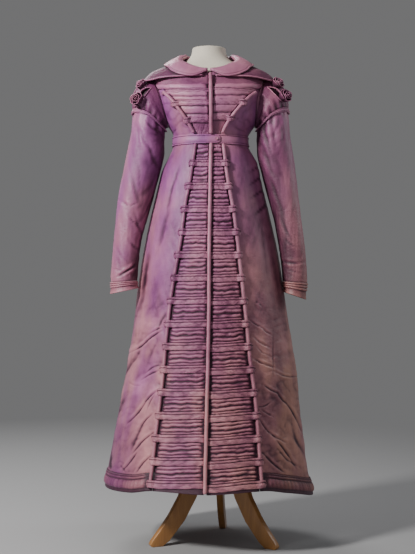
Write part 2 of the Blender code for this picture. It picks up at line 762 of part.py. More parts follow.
def bodice_back(name):
    levels = [WAIST + SEAM, 1.206, 1.220]
    levels += [armhole_height(angle) for angle in reversed(ARMHOLE_ANGLES)]
    neck = (0.33, 0.67, 1.0)
    columns = 11

    def place(row, column):
        share = column / columns
        if row < len(levels):
            height = levels[row]
        else:
            seam = by_turn(NECK_SEAM, mix(90, 270, share))
            height = mix(levels[-1], seam - SEAM, neck[row - len(levels)])
        start = max(armhole_turn(height, 1, True), 180 - shoulder_turn(height, 1))
        end = 360 - max(-armhole_turn(height, -1, True), 180 - shoulder_turn(height, -1))
        return body_point(height, mix(start, end, share))

    return sheet(name, len(levels) + len(neck) - 1, columns, place)


# Collar and pelerine. Their columns run round the neck from one front edge to the other.

PELERINE_EDGE = ((4, 1.376), (30, 1.3735), (52, 1.370), (66, 1.367), (80, 1.372), (90, 1.378),
                 (102, 1.370), (120, 1.345), (150, 1.326), (180, 1.322))
COLLAR_EDGE = ((0, 1.3895), (2.5, 1.384), (6, 1.3765), (10.5, 1.371), (19, 1.3745), (30, 1.386),
               (41, 1.399), (60, 1.409), (78, 1.415), (90, 1.418), (110, 1.411), (150, 1.394), (180, 1.390))


def by_turn(table, turn):
    turn = turn % 360
    away = min(turn, 360 - turn)
    return smooth_through([row[0] for row in table], [row[1] for row in table], away)


def both_ways(turns):
    return turns + tuple(360 - turn for turn in reversed(turns[:-1]))


def pelerine(name):
    turns = both_ways((5.5, 14, 26, 38, 50, 60, 70, 80, 90, 101, 115, 135, 158, 180))

    def place(row, column):
        turn = turns[column]
        high = by_turn(NECK_SEAM, turn) - 0.004
        low = by_turn(PELERINE_EDGE, turn)
        return body_point(mix(low, high, row / 3), turn, 0.0, CAPE)

    return sheet(name, 3, len(turns) - 1, place, wall=0.002)


def collar(name):
    # The stand rises from the neck seam, folds over and falls on the pelerine
    turns = both_ways((0.15, 3.5, 9, 18, 30, 46, 66, 90, 112, 134, 157, 180))

    def place(row, column):
        turn = turns[column]
        seam = by_turn(NECK_SEAM, turn)
        edge = by_turn(COLLAR_EDGE, turn)
        ease = min(1.0, 0.35 + 0.25 * min(column, len(turns) - 1 - column))
        fold = seam + mix(0.0075, 0.0145, ease)
        if row == 0:
            return body_point(seam + 0.0008, turn, 0.0004)
        if row == 1:
            return body_point(fold - 0.003, turn, 0.0008)
        if row == 2:
            return body_point(fold, turn, 0.0055 * ease + 0.001)
        share = (row - 3) / 2
        start = fold - 0.0035
        out = mix(0.0080 * ease + 0.001, 0.0036, share)
        return body_point(mix(start, min(edge, start - 0.004), share), turn, out, CAPE)

    return sheet(name, 5, len(turns) - 1, place, wall=0.0020)


# Sleeves. A ring angle is 0 at the outer edge, 90 at the front and 180 under the arm.

def ring_table(side):
    return SLEEVE_LEFT if side < 0 else SLEEVE_RIGHT


def ring_point(ring, side, angle):
    cos = math.cos(math.radians(angle))
    sin = math.sin(math.radians(angle))
    x = (ring.in_x + ring.out_x) / 2 + (ring.out_x - ring.in_x) / 2 * cos
    z = (ring.in_z + ring.out_z) / 2 + (ring.out_z - ring.in_z) / 2 * cos
    return Vector((side * x, ring.y - ring.deep * sin, z))


def armhole_point(side, angle, out):
    cos = math.cos(math.radians(angle))
    sin = math.sin(math.radians(angle))
    shrink = 0.990
    height = ARMHOLE_HEIGHT + ARMHOLE_TALL * shrink * cos
    turn = turn_at_depth(height, ARMHOLE_MIDDLE - ARMHOLE_DEEP * shrink * sin, side)
    return body_point(height, turn, out)


def sleeve_spot(side, ring_place, angle):
    table = ring_table(side)
    ring = row_through(table, list(range(len(table))), ring_place)
    spot = ring_point(ring, side, angle)
    if ring_place < 1:
        spot = armhole_point(side, angle, 0.0006).lerp(spot, max(ring_place, 0.0))
    return spot


def sleeve_point(side, ring_place, angle, out=0.0):
    here = sleeve_spot(side, ring_place, angle)
    if out == 0.0:
        return here
    along = sleeve_spot(side, ring_place + 0.08, angle) - sleeve_spot(side, ring_place - 0.08, angle)
    around = sleeve_spot(side, ring_place, angle + 2) - sleeve_spot(side, ring_place, angle - 2)
    normal = along.cross(around).normalized()
    middle = (sleeve_spot(side, ring_place, angle) + sleeve_spot(side, ring_place, angle + 180)) / 2
    if normal.dot(here - middle) < 0:
        normal = -normal
    return here + normal * out


# The rosettes of the shoulders: side, place along the sleeve, ring angle and lift
Rosette = namedtuple("Rosette", "name side place angle lift")
ROSETTES = (Rosette("rosette_upper_left", -1, 1.30, 30, 0.0118),
            Rosette("rosette_lower_left", -1, 2.45, 52, 0.0144),
            Rosette("rosette_upper_right", 1, 1.30, 30, 0.0118),
            Rosette("rosette_lower_right", 1, 2.45, 42, 0.0150))
SEAM_ANGLES = ARMHOLE_ANGLES + tuple(360 - angle for angle in reversed(ARMHOLE_ANGLES[1:-1])) + (360,)


def sleeve(side, name):
    rows = len(ring_table(side)) - 1

    def place(row, column):
        return sleeve_point(side, row, SEAM_ANGLES[column])

    return sheet(name, rows, len(SEAM_ANGLES) - 1, place, closed=True, flip=side < 0)


def cuff(side, name):
    # Corded cuff that flares at its edge, a seam's width below the sleeve
    last = ring_table(side)[-1]
    wrist = WRIST_LEFT if side < 0 else WRIST_RIGHT
    step = SEAM * 1.5
    top = last._replace(in_z=last.in_z - step, out_z=last.out_z - step)
    Cord = namedtuple("Cord", "share lift")
    profile = (Cord(0.0, 0.0), Cord(0.15, 0.0032), Cord(0.30, 0.0006), Cord(0.45, 0.0032),
               Cord(0.60, 0.0006), Cord(1.0, 0.0030))
    angles = SEAM_ANGLES[:-1]

    def place(share, lift, angle):
        ring = Ring(*(mix(a, b, share) for a, b in zip(top, wrist)))
        centre = (ring_point(ring, side, 0) + ring_point(ring, side, 180)) / 2
        spot = ring_point(ring, side, angle)
        return spot + (spot - centre).normalized() * lift

    outer = [[place(row.share, row.lift, angle) for angle in angles] for row in profile]
    inner = [[place(share, -CLOTH, angle) for angle in angles] for share in (0.0, 1.0)]
    return relief_wall(name, outer, inner, closed=True)


def mancheron_edge(angle):
    # Place along the sleeve of the short oversleeve's band
    return smooth_through((0, 60, 95, 140, 180), (3.45, 3.05, 2.75, 2.85, 3.05),
                          min(angle % 360, 360 - angle % 360))


MANCHERON_ANGLES = (-128, -104, -80, -58, -45, -26, -8, 8, 26, 45, 58, 80, 104, 128)
SLASHES = (3, 6, 9)


def mancheron(side, name):
    # Petals of the short oversleeve, parted by slashes
    rows = 5
    columns = len(MANCHERON_ANGLES) - 1
    cells = {(row, column) for column in SLASHES for row in range(1, rows - 1)}

    def place(row, column):
        share = row / rows
        angle = MANCHERON_ANGLES[column]
        top = 0.30 + 0.35 * (abs(angle) / 128) ** 2
        spot = mix(top, mancheron_edge(angle) - 0.06, share)
        puff = math.sin(math.pi * share ** 1.3)
        rim = 1 - 0.55 * (abs(angle) / 128) ** 3
        petal = 0.0035 if any(column in (slash, slash + 1) for slash in SLASHES) else 0.0
        return sleeve_point(side, spot, angle, 0.0046 + (0.0085 * puff + petal * puff) * rim)

    return sheet(name, rows, columns, place, wall=0.002, open_cells=cells, flip=side < 0)


def mancheron_band(side, name):
    Cord = namedtuple("Cord", "reach lift")
    profile = (Cord(0.0, 0.0008), Cord(0.0, 0.0060), Cord(0.14, 0.0072), Cord(0.28, 0.0058),
               Cord(0.28, 0.0008))
    angles = SEAM_ANGLES[:-1]
    rings = [[sleeve_point(side, mancheron_edge(angle) + row.reach, angle, row.lift)
              for angle in angles] for row in profile]
    work = bmesh.new()
    rings = [[work.verts.new(point) for point in ring] for ring in rings]
    for low, high in zip(rings, rings[1:] + rings[:1]):
        for index in range(len(angles)):
            after = (index + 1) % len(angles)
            work.faces.new((low[index], low[after], high[after], high[index]))
    bmesh.ops.recalc_face_normals(work, faces=work.faces)
    return put_in_scene(name, mesh_from(work, name), SILK_EDGE)


def rosette(coil):
    # A coil of folded silk standing on the outer side of the short oversleeve
    base = sleeve_point(coil.side, coil.place, coil.angle, coil.lift)
    axis = (sleeve_point(coil.side, coil.place, coil.angle, coil.lift + 0.01) - base).normalized()
    first = axis.cross(Vector((0, 1, 0))).normalized()
    second = axis.cross(first)
    rings = []
    steps = 12
    for step in range(steps + 1):
        share = step / steps
        turn = math.radians(560 * share)
        radius = mix(0.0030, 0.0125, share)
        spoke = first * math.cos(turn) + second * math.sin(turn)
        flare = 1.22
        tall = mix(0.0165, 0.0125, share)
        low = base + spoke * radius
        high = base + spoke * radius * flare + axis * tall
        rings.append([low, low + spoke * 0.0020, high + spoke * 0.0020, high])
    return loft(coil.name, rings, SILK_EDGE)


# Belt, rails, rouleaux

def belt(name):
    columns = 28
    levels = (BELT_LOW, BELT_HIGH)

    def place(row, column):
        turn = 360 * column / columns
        return body_point(levels[row], turn, 0.0044)

    return sheet(name, 1, columns, place, wall=0.0024, closed=True, finish=SILK_EDGE)


def belt_lap(name):
    # End of the belt that laps over at the front, rounded at its tip
    xs = (-0.004, 0.008, 0.019, 0.027, 0.031)
    halves = (0.0138, 0.0138, 0.0138, 0.0115, 0.0060)

    def place(row, column):
        height = WAIST + halves[column] * (row - 1)
        return body_point(height, turn_at(height, xs[column]), 0.0080)

    return sheet(name, 2, len(xs) - 1, place, wall=0.0022, finish=SILK_EDGE)


def belt_button(name):
    turn = turn_at(WAIST, 0.0205)
    base = body_point(WAIST, turn, 0.0084)
    axis = (body_point(WAIST, turn, 0.02) - base).normalized()
    work = bmesh.new()
    bmesh.ops.create_cone(work, cap_ends=True, segments=12, radius1=0.0045, radius2=0.0040,
                          depth=0.003)
    thing = put_in_scene(name, mesh_from(work, name), BUTTON)
    thing.location = base + axis * 0.0015
    thing.rotation_euler = Vector((0, 0, 1)).rotation_difference(axis).to_euler()
    return thing


def rails():
    skirt = (0.212,) + SKIRT_LEVELS[:-2] + (BELT_LOW - 0.001,)
    bodice = [BELT_HIGH + 0.0045, 1.220, 1.235, 1.250, 1.265, 1.280, 1.295, 1.310, 1.3245]
    for side, word in ((-1, "left"), (1, "right")):
        points = [body_point(z, turn_at(z, skirt_rail_x(z, side)), RAIL_LIFT) for z in skirt]
        cord("skirt_rail_" + word, points, RAIL_RADIUS)
        points = [body_point(z, turn_at(z, bodice_rail_x(z, side)), RAIL_RADIUS) for z in bodice]
        cord("bodice_rail_" + word, points, RAIL_RADIUS * 0.9)


def rouleaux():
    skirt = [0.1905, 0.25, 0.32, 0.39, 0.46, 0.53, 0.60, 0.67, 0.74, 0.79, 0.83, 0.87, 0.91, 0.95,
             0.99, 1.03, 1.07, 1.11, 1.145, BELT_LOW - 0.001]
    bodice = [BELT_HIGH + 0.001, 1.220, 1.235, 1.250, 1.268, 1.286, 1.305, 1.325, 1.345, 1.360, 1.370]
    for name, heights in (("skirt_rouleau", skirt), ("bodice_rouleau", bodice)):
        lift = ROULEAU_LIFT if name.startswith("skirt") else ROULEAU_LIFT + 0.0010
        points = [body_point(z, turn_at(z, line_at(CENTRE_LINE, z)), lift) for z in heights]
        cord(name, points, ROULEAU_RADIUS)


# Dress form and stand

def form_torso(name):
    # Follows the inside of the dress; below the waist it narrows to its own rounded floor
    Slice = namedtuple("Slice", "source inset")
    upper = (Slice(1.160, 0.0100), Slice(1.182, 0.0080), Slice(1.205, 0.0066),
             Slice(1.238, 0.0062), Slice(1.278, 0.0064), Slice(1.320, 0.0070), Slice(1.352, 0.0080),
             Slice(1.380, 0.0080), Slice(1.400, 0.0080), Slice(1.420, 0.0080),
             Slice(1.440, 0.0080), Slice(FORM_TOP, 0.0080))
    lower = ((FORM_FLOOR, 0.80), (0.925, 0.95), (0.96, 1.05), (1.03, 1.07), (1.10, 1.03))
    count = 20
    turns = [360 * step / count for step in range(count)]
    rings = []
    for height, swell in lower:
        ring = [body_point(1.125, turn, -0.012) for turn in turns]
        rings.append([Vector((spot.x * swell, spot.y * swell, height)) for spot in ring])
    for part in upper:
        rings.append([body_point(part.source, turn, -part.inset) for turn in turns])
    return loft(name, rings, LINEN)


def turned(name, stops, finish):
    # A round part from its radius and height stops, centred on the stand
    count = 16
    rings = []
    for radius, height in stops:
        ring = []
        for step in range(count):
            angle = math.radians(360 * step / count)
            ring.append(Vector((STAND_X + radius * math.cos(angle),
                                STAND_Y + radius * math.sin(angle), height)))
        rings.append(ring)
    return loft(name, rings, finish)


def stand_post(name):
    stops = ((HUB_RADIUS * 0.72, HUB_LOW), (HUB_RADIUS, HUB_LOW + 0.012), (HUB_RADIUS, HUB_HIGH),
             (POST_RADIUS * 1.5, HUB_HIGH + 0.018), (POST_RADIUS, HUB_HIGH + 0.040),
             (POST_RADIUS, FORM_FLOOR - SEAM))
    return turned(name, stops, WOOD)


def leg(name, turn):
    outer = ((HUB_RADIUS + SEAM, 0.338), (0.070, 0.296), (0.092, 0.222), (0.1245, 0.141), (0.155, 0.090),
             (0.1827, 0.053), (0.2120, 0.018), (0.2166, 0.008), (0.2120, 0.0))
    inner = ((0.178, 0.0), (0.1568, 0.015), (0.1082, 0.071), (0.0705, 0.136), (HUB_RADIUS + SEAM, 0.205))
    curve = bpy.data.curves.new(name, "CURVE")
    curve.dimensions = "2D"
    curve.fill_mode = "BOTH"
    curve.extrude = LEG_THICK / 2
    line = curve.splines.new("POLY")
    points = outer + inner
    line.points.add(len(points) - 1)
    for spot, (radius, height) in zip(line.points, points):
        spot.co = (radius, height, 0.0, 1.0)
    line.use_cyclic_u = True
    thing = put_in_scene(name, curve, WOOD)
    thing.location = (STAND_X, STAND_Y, 0.0)
    thing.rotation_euler = (math.radians(90), 0.0, math.radians(turn))
    return thing


for old in list(bpy.data.objects):
    bpy.data.objects.remove(old)
dress = bpy.data.collections.new("coat_dress")
bpy.context.scene.collection.children.link(dress)

form_torso("form_torso")
stand_post("stand_post")
for number, turn in enumerate(LEG_TURNS):
    leg("stand_leg_%d" % (number + 1), turn)
for side, word in ((-1, "left"), (1, "right")):
    bodice_side(side, "bodice_side_" + word)
    ruched_bodice_panel(side, "bodice_front_" + word)
    bodice_tabs(side, "bodice_tabs_" + word)
    skirt_front(side, "skirt_front_" + word)
    ruched_skirt_panel(side, "skirt_ruched_panel_" + word)
    skirt_tabs(side, "skirt_tabs_" + word)
    sleeve(side, "sleeve_" + word)
    cuff(side, "cuff_" + word)
    mancheron(side, "mancheron_" + word)
    mancheron_band(side, "mancheron_band_" + word)
    skirt_back(side, "skirt_back_" + word)
for coil in ROSETTES:
    rosette(coil)
bodice_back("bodice_back")
hem_band("hem_band")
pelerine("pelerine")
collar("collar")
belt("belt")
belt_lap("belt_lap")
belt_button("belt_button")
rails()
rouleaux()
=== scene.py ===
import math
import bpy
import bmesh
import numpy as np
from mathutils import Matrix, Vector


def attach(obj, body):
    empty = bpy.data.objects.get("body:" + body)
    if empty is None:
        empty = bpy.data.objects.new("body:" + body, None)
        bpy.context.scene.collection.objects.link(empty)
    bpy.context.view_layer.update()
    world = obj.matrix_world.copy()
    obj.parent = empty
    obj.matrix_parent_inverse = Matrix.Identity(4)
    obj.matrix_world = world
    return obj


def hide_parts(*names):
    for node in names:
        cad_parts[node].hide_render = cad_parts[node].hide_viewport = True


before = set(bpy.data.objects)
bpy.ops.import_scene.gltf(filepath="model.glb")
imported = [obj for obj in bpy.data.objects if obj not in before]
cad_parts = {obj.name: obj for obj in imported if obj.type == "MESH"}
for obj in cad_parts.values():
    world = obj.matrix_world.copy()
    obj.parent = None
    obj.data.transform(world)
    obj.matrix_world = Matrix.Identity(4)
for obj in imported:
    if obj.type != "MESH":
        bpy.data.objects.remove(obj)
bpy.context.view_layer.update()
print("frame loaded:", len(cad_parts), "nodes")
pieces = []

# Camera and stage first

photo = {"wide": 415, "high": 554, "focalPixels": 1233.0, "eye": (-0.0045, -3.70, 0.79), "sensor": 36.0}


def addCamera():
    lens = bpy.data.cameras.new("viewCamera")
    lens.lens = photo["focalPixels"] / photo["high"] * photo["sensor"]
    lens.sensor_width = photo["sensor"]
    camera = bpy.data.objects.new("viewCamera", lens)
    camera.location = photo["eye"]
    camera.rotation_euler = (math.radians(90), 0, 0)
    bpy.context.scene.collection.objects.link(camera)
    bpy.context.scene.camera = camera


def seen(points):  # where points show in the 415 by 554 view, across and down
    scale = photo["focalPixels"] / (points[..., 1] - photo["eye"][1])
    across = photo["wide"] / 2 + (points[..., 0] - photo["eye"][0]) * scale
    down = photo["high"] / 2 - (points[..., 2] - photo["eye"][2]) * scale
    return across, down


lights = [
    {"name": "key", "place": (-2.5, -2.4, 2.7), "aim": 0.8, "size": 0.55, "watts": 195, "colour": (1, 0.985, 0.96)},
    {"name": "front", "place": (0.9, -3.6, 1.5), "aim": 0.7, "size": 2.2, "watts": 12, "colour": (0.96, 0.98, 1)},
    {"name": "side", "place": (2.6, 0.6, 1.9), "aim": 0.9, "size": 1.4, "watts": 16, "colour": (0.96, 0.98, 1)},
    {"name": "back", "place": (-1.4, 2.3, 3.3), "aim": 0.8, "size": 1.8, "watts": 60, "colour": (1, 1, 1)},
]


def addLights():
    for look in lights:
        data = bpy.data.lights.new(look["name"], "AREA")
        data.shape = "DISK"
        data.size = look["size"]
        data.energy = look["watts"]
        data.color = look["colour"]
        lamp = bpy.data.objects.new(look["name"] + "Light", data)
        lamp.location = look["place"]
        aim = Vector((0, 0, look["aim"])) - Vector(look["place"])
        lamp.rotation_euler = aim.to_track_quat("-Z", "Y").to_euler()
        bpy.context.scene.collection.objects.link(lamp)


# Shader maths written as plain expressions

class Value:
    def __init__(self, shader, socket):
        self.shader = shader
        self.socket = socket

    def maths(self, operation, first, second, clamp=False):
        return self.shader.make("ShaderNodeMath", {0: first, 1: second}, operation=operation, use_clamp=clamp)

    def __add__(self, other):
        return self.maths("ADD", self, other)

    def __radd__(self, other):
        return self.maths("ADD", other, self)

    def __sub__(self, other):
        return self.maths("SUBTRACT", self, other)

    def __rsub__(self, other):
        return self.maths("SUBTRACT", other, self)

    def __mul__(self, other):
        return self.maths("MULTIPLY", self, other)

    def clamped(self):
        return self.maths("ADD", self, 0.0, clamp=True)

    def between(self, low, high):  # 0 at low, 1 at high
        return self.maths("MULTIPLY", self - low, 1.0 / (high - low), clamp=True)


class Shader:
    def __init__(self, name):
        self.material = bpy.data.materials.new(name)
        self.material.use_nodes = True
        self.tree = self.material.node_tree
        self.surface = self.tree.nodes["Principled BSDF"]

    def make(self, kind, sockets, output=0, **settings):
        node = self.tree.nodes.new(kind)
        for key, value in settings.items():
            setattr(node, key, value)
        for key, value in sockets.items():
            if isinstance(value, Value):
                self.tree.links.new(value.socket, node.inputs[key])
            else:
                node.inputs[key].default_value = value
        return Value(self, node.outputs[output])

    def spot(self, index):  # one part of a point's own place
        return self.make("ShaderNodeSeparateXYZ", {0: self.make("ShaderNodeTexCoord", {}, 3)}, index)

    def place(self, scale=(1, 1, 1), turn=(0, 0, 0)):
        spot = self.make("ShaderNodeTexCoord", {}, 3)
        return self.make("ShaderNodeMapping", {"Vector": spot, "Scale": scale, "Rotation": turn})

    def weave(self, scale):  # the cloth's own cut, in metres
        cut = self.make("ShaderNodeUVMap", {}, uv_map="cut")
        return self.make("ShaderNodeMapping", {"Vector": cut, "Scale": scale})

    def noise(self, where, scale, detail=3.0, rough=0.5, distort=0.0):
        sockets = {"Vector": where, "Scale": scale, "Detail": detail, "Roughness": rough, "Distortion": distort}
        return self.make("ShaderNodeTexNoise", sockets)

    def blend(self, share, first, second):
        return self.make("ShaderNodeMix", {0: share, 6: first, 7: second}, 2, data_type="RGBA")

    def bump(self, height, strength, distance, under=None):
        sockets = {"Height": height, "Strength": strength, "Distance": distance}
        if under is not None:
            sockets["Normal"] = under
        return self.make("ShaderNodeBump", sockets)

    def feed(self, **values):
        for key, value in values.items():
            self.tree.links.new(value.socket, self.surface.inputs[key.replace("_", " ")])

    def fixed(self, **values):
        for key, value in values.items():
            self.surface.inputs[key.replace("_", " ")].default_value = value


# top, violetTop and brownTop colour the fold tops and the faded patches, partly as painted highlight; deep and shade
# are painted shade
silkLook = {
    "top": (0.500, 0.195, 0.270, 1), "plum": (0.165, 0.036, 0.085, 1), "deep": (0.034, 0.006, 0.020, 1),
    "violetTop": (0.450, 0.150, 0.400, 1), "violet": (0.135, 0.022, 0.125, 1),
    "brownTop": (0.500, 0.235, 0.185, 1), "brown": (0.130, 0.040, 0.042, 1),
    "shade": (0.02, 0.008, 0.014, 1), "slub": (0.50, 0.27, 0.35, 1), "sheen": 0.06, "sheenTint": (0.70, 0.35, 0.60, 1),
    "patchScale": 7.5, "streakScale": 26.0, "ribScale": (900, 2600, 1), "slubScale": (22, 420, 1), "balance": 0.68,
}


# fade sets how pale each piece is: partly the silk's own fading, partly painted light and shade for the whole piece.
# dark below 1 mixes in painted shade
def silk(name, fade, crush, violet, brown, dark=1.0, grain=95.0):
    s = Shader(name)
    look = silkLook
    paintedLight = s.make("ShaderNodeAttribute", {}, 2, attribute_name="paintedLight")
    across, up = s.spot(0), s.spot(2)
    patches = s.noise(s.place((1, 1, 0.55)), look["patchScale"], 3.0, 0.55)
    streaks = s.noise(s.place((1, 1, 0.35), (0.5, 0.3, 0.6)), look["streakScale"], 4.0, 0.6)
    # painted highlight on the fold tops and painted shade in the valleys, mixed with random faded patches and streaks
    foldLightAndWear = (paintedLight * 0.90 + (patches - 0.5) * 1.7 + (streaks - 0.5) * 0.9 + (fade - look["balance"])).clamped()
    cloth = s.blend(foldLightAndWear, look["plum"], look["top"])
    high = up.between(0.55, 1.05) * 0.75
    leftPart = (across.between(0.03, -0.16) * 0.6 + high) * patches.between(0.70, 0.44) * violet
    cloth = s.blend(leftPart.clamped(), cloth, s.blend(foldLightAndWear, look["violet"], look["violetTop"]))
    lowPart = up.between(0.92, 0.50) * patches.between(0.42, 0.58) * 0.75
    rightPart = (across.between(0.03, 0.20) * up.between(1.25, 0.75) + lowPart) * brown
    cloth = s.blend(rightPart.clamped(), cloth, s.blend(foldLightAndWear, look["brown"], look["brownTop"]))
    corner = across.between(-0.17, -0.29) * up.between(0.62, 0.25) * violet  # the violet lower left corner
    cloth = s.blend((corner * 0.62).clamped(), cloth, look["violet"])
    # painted shade: the deep colour fills the valleys where the painted light is low
    cloth = s.blend(paintedLight.between(0.0, 0.42), look["deep"], cloth)
    # painted shade over the whole piece where dark is below 1
    if dark != 1.0:
        cloth = s.blend(1.0 - dark, cloth, look["shade"])
    ribs = s.noise(s.weave(look["ribScale"]), 1.0, 1.0)
    slubs = s.noise(s.weave(look["slubScale"]), 1.0, 2.0)
    crumple = s.noise(s.place((1, 1, 1.6), (0.2, 0.5, 0.1)), grain, 4.0, 0.62, 0.4)
    threads = s.bump(ribs * 0.5 + slubs * 0.5, 0.35, 0.0003)
    s.feed(Normal=s.bump(crumple, crush, 0.004, threads), Roughness=0.58 - foldLightAndWear * 0.16 + (slubs - 0.5) * 0.1,
           Base_Color=s.blend((slubs - 0.5).clamped() * 0.22, cloth, look["slub"]))
    s.fixed(Sheen_Weight=look["sheen"], Sheen_Roughness=0.35, Sheen_Tint=look["sheenTint"], Specular_IOR_Level=0.5)
    return s.material


woodLook = {"light": (0.520, 0.250, 0.075, 1), "dark": (0.240, 0.098, 0.026, 1), "grain": 55.0, "pores": 420.0}


def wood(name):
    s = Shader(name)
    grain = s.noise(s.place((1, 1, 0.12)), woodLook["grain"], 5.0, 0.6, 0.6)
    pores = s.noise(s.place((1, 1, 0.05)), woodLook["pores"], 2.0)
    tone = (grain * 1.25 - 0.15 + (pores - 0.5) * 0.3).clamped()
    s.feed(Base_Color=s.blend(tone, woodLook["dark"], woodLook["light"]), Roughness=0.34 + pores * 0.14,
           Normal=s.bump(pores, 0.25, 0.0006))
    s.fixed(Coat_Weight=0.25, Coat_Roughness=0.2)
    return s.material


linenLook = {"light": (0.78, 0.73, 0.63, 1), "dark": (0.50, 0.44, 0.35, 1), "threads": 900.0}


def linen(name):
    s = Shader(name)
    threads = s.noise(s.place((1, 1, 0.3)), linenLook["threads"], 2.0)
    cross = s.noise(s.place((0.3, 0.3, 1)), linenLook["threads"], 2.0)
    tone = (threads * 0.5 + cross * 0.5 + (s.noise(s.place(), 12.0) - 0.5) * 0.5).clamped()
    s.feed(Base_Color=s.blend(tone, linenLook["dark"], linenLook["light"]), Roughness=0.82 + threads * 0.1,
           Normal=s.bump(threads + cross, 0.4, 0.0004))
    return s.material


stage = {"size": 80, "far": (0.168, 0.168, 0.170, 1), "left": (0.46, 0.46, 0.465, 1), "right": (0.26, 0.26, 0.265, 1),
         "black": (0, 0, 0, 1)}


def floorMaterial():  # pale near the part, and the backdrop's own grey farther off
    s = Shader("paleFloor")
    across, deep = s.spot(0), s.spot(1)
    away = (across * across + deep * deep).between(0.3, 11.0)
    # painted light and shade on the floor: lighter on the left, darker on the right
    tone = s.blend(across.between(-1.6, 1.6), stage["left"], stage["right"])
    s.feed(Base_Color=s.blend(away, tone, stage["black"]), Emission_Color=s.blend(away, stage["black"], stage["far"]),
           Roughness=s.noise(s.place(), 3.0) * 0.1 + 0.85)
    s.fixed(Emission_Strength=1.0, Specular_IOR_Level=0.0)
    return s.material


def addStage():
    bpy.ops.mesh.primitive_plane_add(size=stage["size"], location=(0, 0, 0))
    floor = bpy.context.active_object
    floor.name = "floor"
    floor.data.materials.append(floorMaterial())
    world = bpy.data.worlds.new("studio")
    world.use_nodes = True
    world.node_tree.nodes["Background"].inputs["Color"].default_value = stage["far"]
    bpy.context.scene.world = world


addCamera()
addLights()
addStage()
print("camera, lights and floor placed")

# The garment's form: half widths and depths by height, as in the solids

# height, left, right, front, back, middle, squareness
bodyTable = np.array([
    (0.13, 0.3155, 0.3125, 0.312, 0.3115, 0.0, 2.0), (0.165, 0.311, 0.307, 0.307, 0.307, 0.0, 2.0),
    (0.22, 0.3025, 0.2935, 0.2965, 0.298, 0.0, 2.0), (0.29, 0.289, 0.2845, 0.286, 0.29, 0.0, 2.0),
    (0.38, 0.272, 0.273, 0.271, 0.276, 0.0, 2.0), (0.49, 0.251, 0.264, 0.252, 0.258, 0.0, 2.0),
    (0.586, 0.234, 0.249, 0.236, 0.243, 0.0, 2.0), (0.667, 0.223, 0.236, 0.2225, 0.229, -0.001, 2.0),
    (0.751, 0.213, 0.224, 0.2085, 0.213, -0.002, 2.0), (0.826, 0.202, 0.212, 0.1965, 0.198, -0.003, 2.0),
    (0.901, 0.189, 0.198, 0.1845, 0.183, -0.004, 2.0), (0.958, 0.177, 0.185, 0.1755, 0.171, -0.006, 2.0),
    (1.015, 0.163, 0.171, 0.1665, 0.158, -0.009, 2.0), (1.072, 0.149, 0.156, 0.157, 0.142, -0.013, 2.05),
    (1.102, 0.141, 0.15, 0.151, 0.132, -0.016, 2.1), (1.132, 0.127, 0.142, 0.145, 0.119, -0.02, 2.1),
    (1.156, 0.114, 0.128, 0.139, 0.102, -0.024, 2.15), (1.178, 0.106, 0.116, 0.131, 0.08, -0.027, 2.2),
    (1.2, 0.105, 0.114, 0.128, 0.072, -0.028, 2.2), (1.216, 0.108, 0.121, 0.131, 0.072, -0.028, 2.2),
    (1.242, 0.124, 0.138, 0.141, 0.075, -0.029, 2.2), (1.27, 0.136, 0.146, 0.152, 0.08, -0.03, 2.25),
    (1.3, 0.147, 0.15, 0.156, 0.086, -0.03, 2.3), (1.337, 0.156, 0.156, 0.146, 0.092, -0.03, 2.4),
    (1.36, 0.163, 0.163, 0.132, 0.094, -0.03, 2.5), (1.375, 0.162, 0.162, 0.122, 0.093, -0.028, 2.5),
    (1.39, 0.153, 0.153, 0.112, 0.089, -0.026, 2.4), (1.405, 0.137, 0.137, 0.103, 0.084, -0.023, 2.3),
    (1.425, 0.1, 0.1, 0.091, 0.076, -0.019, 2.2), (1.44, 0.073, 0.073, 0.084, 0.068, -0.015, 2.0),
    (1.455, 0.061, 0.061, 0.078, 0.062, -0.01, 2.0), (1.475, 0.058, 0.058, 0.074, 0.06, -0.008, 2.0),
])
capeTable = np.array([
    (1.29, 0.216, 0.216, 0.168, 0.092, -0.03, 2.3), (1.33, 0.21, 0.21, 0.1565, 0.0995, -0.03, 2.3),
    (1.36, 0.2025, 0.2025, 0.1415, 0.1025, -0.03, 2.4), (1.378, 0.191, 0.191, 0.13, 0.1015, -0.028, 2.4),
    (1.39, 0.179, 0.179, 0.1215, 0.0975, -0.026, 2.4), (1.399, 0.1655, 0.1655, 0.1155, 0.0945, -0.025, 2.4),
    (1.416, 0.129, 0.129, 0.1035, 0.087, -0.022, 2.3), (1.426, 0.1065, 0.1065, 0.0965, 0.0815, -0.019, 2.2),
    (1.44, 0.079, 0.079, 0.0885, 0.0735, -0.015, 2.1),
])


def through(knots, values, at):  # one smooth curve through a table's rows
    knots, values = np.asarray(knots, float), np.asarray(values, float)
    at = np.clip(np.asarray(at, float), knots[0], knots[-1])
    slopes = np.empty_like(values)
    slopes[1:-1] = (values[2:] - values[:-2]) / (knots[2:] - knots[:-2])
    slopes[0] = (values[1] - values[0]) / (knots[1] - knots[0])
    slopes[-1] = (values[-1] - values[-2]) / (knots[-1] - knots[-2])
    span = np.clip(np.searchsorted(knots, at, side="left") - 1, 0, len(knots) - 2)
    width = knots[span + 1] - knots[span]
    t = (at - knots[span]) / width
    rise = 3 * t * t - 2 * t ** 3
    start = values[span] * (1 - rise) + values[span + 1] * rise
    return start + width * (slopes[span] * (t ** 3 - 2 * t * t + t) + slopes[span + 1] * (t ** 3 - t * t))


def curveOf(rows, at):
    knots, values = zip(*rows)
    return through(knots, values, at)


def clip(values, low=0.0, high=1.0):
    return np.clip(values, low, high)


def cosOf(degrees):
    return np.cos(np.radians(degrees))


def sinOf(degrees):
    return np.sin(np.radians(degrees))


def bell(off, width):
    return np.exp(-(off / width) ** 2)


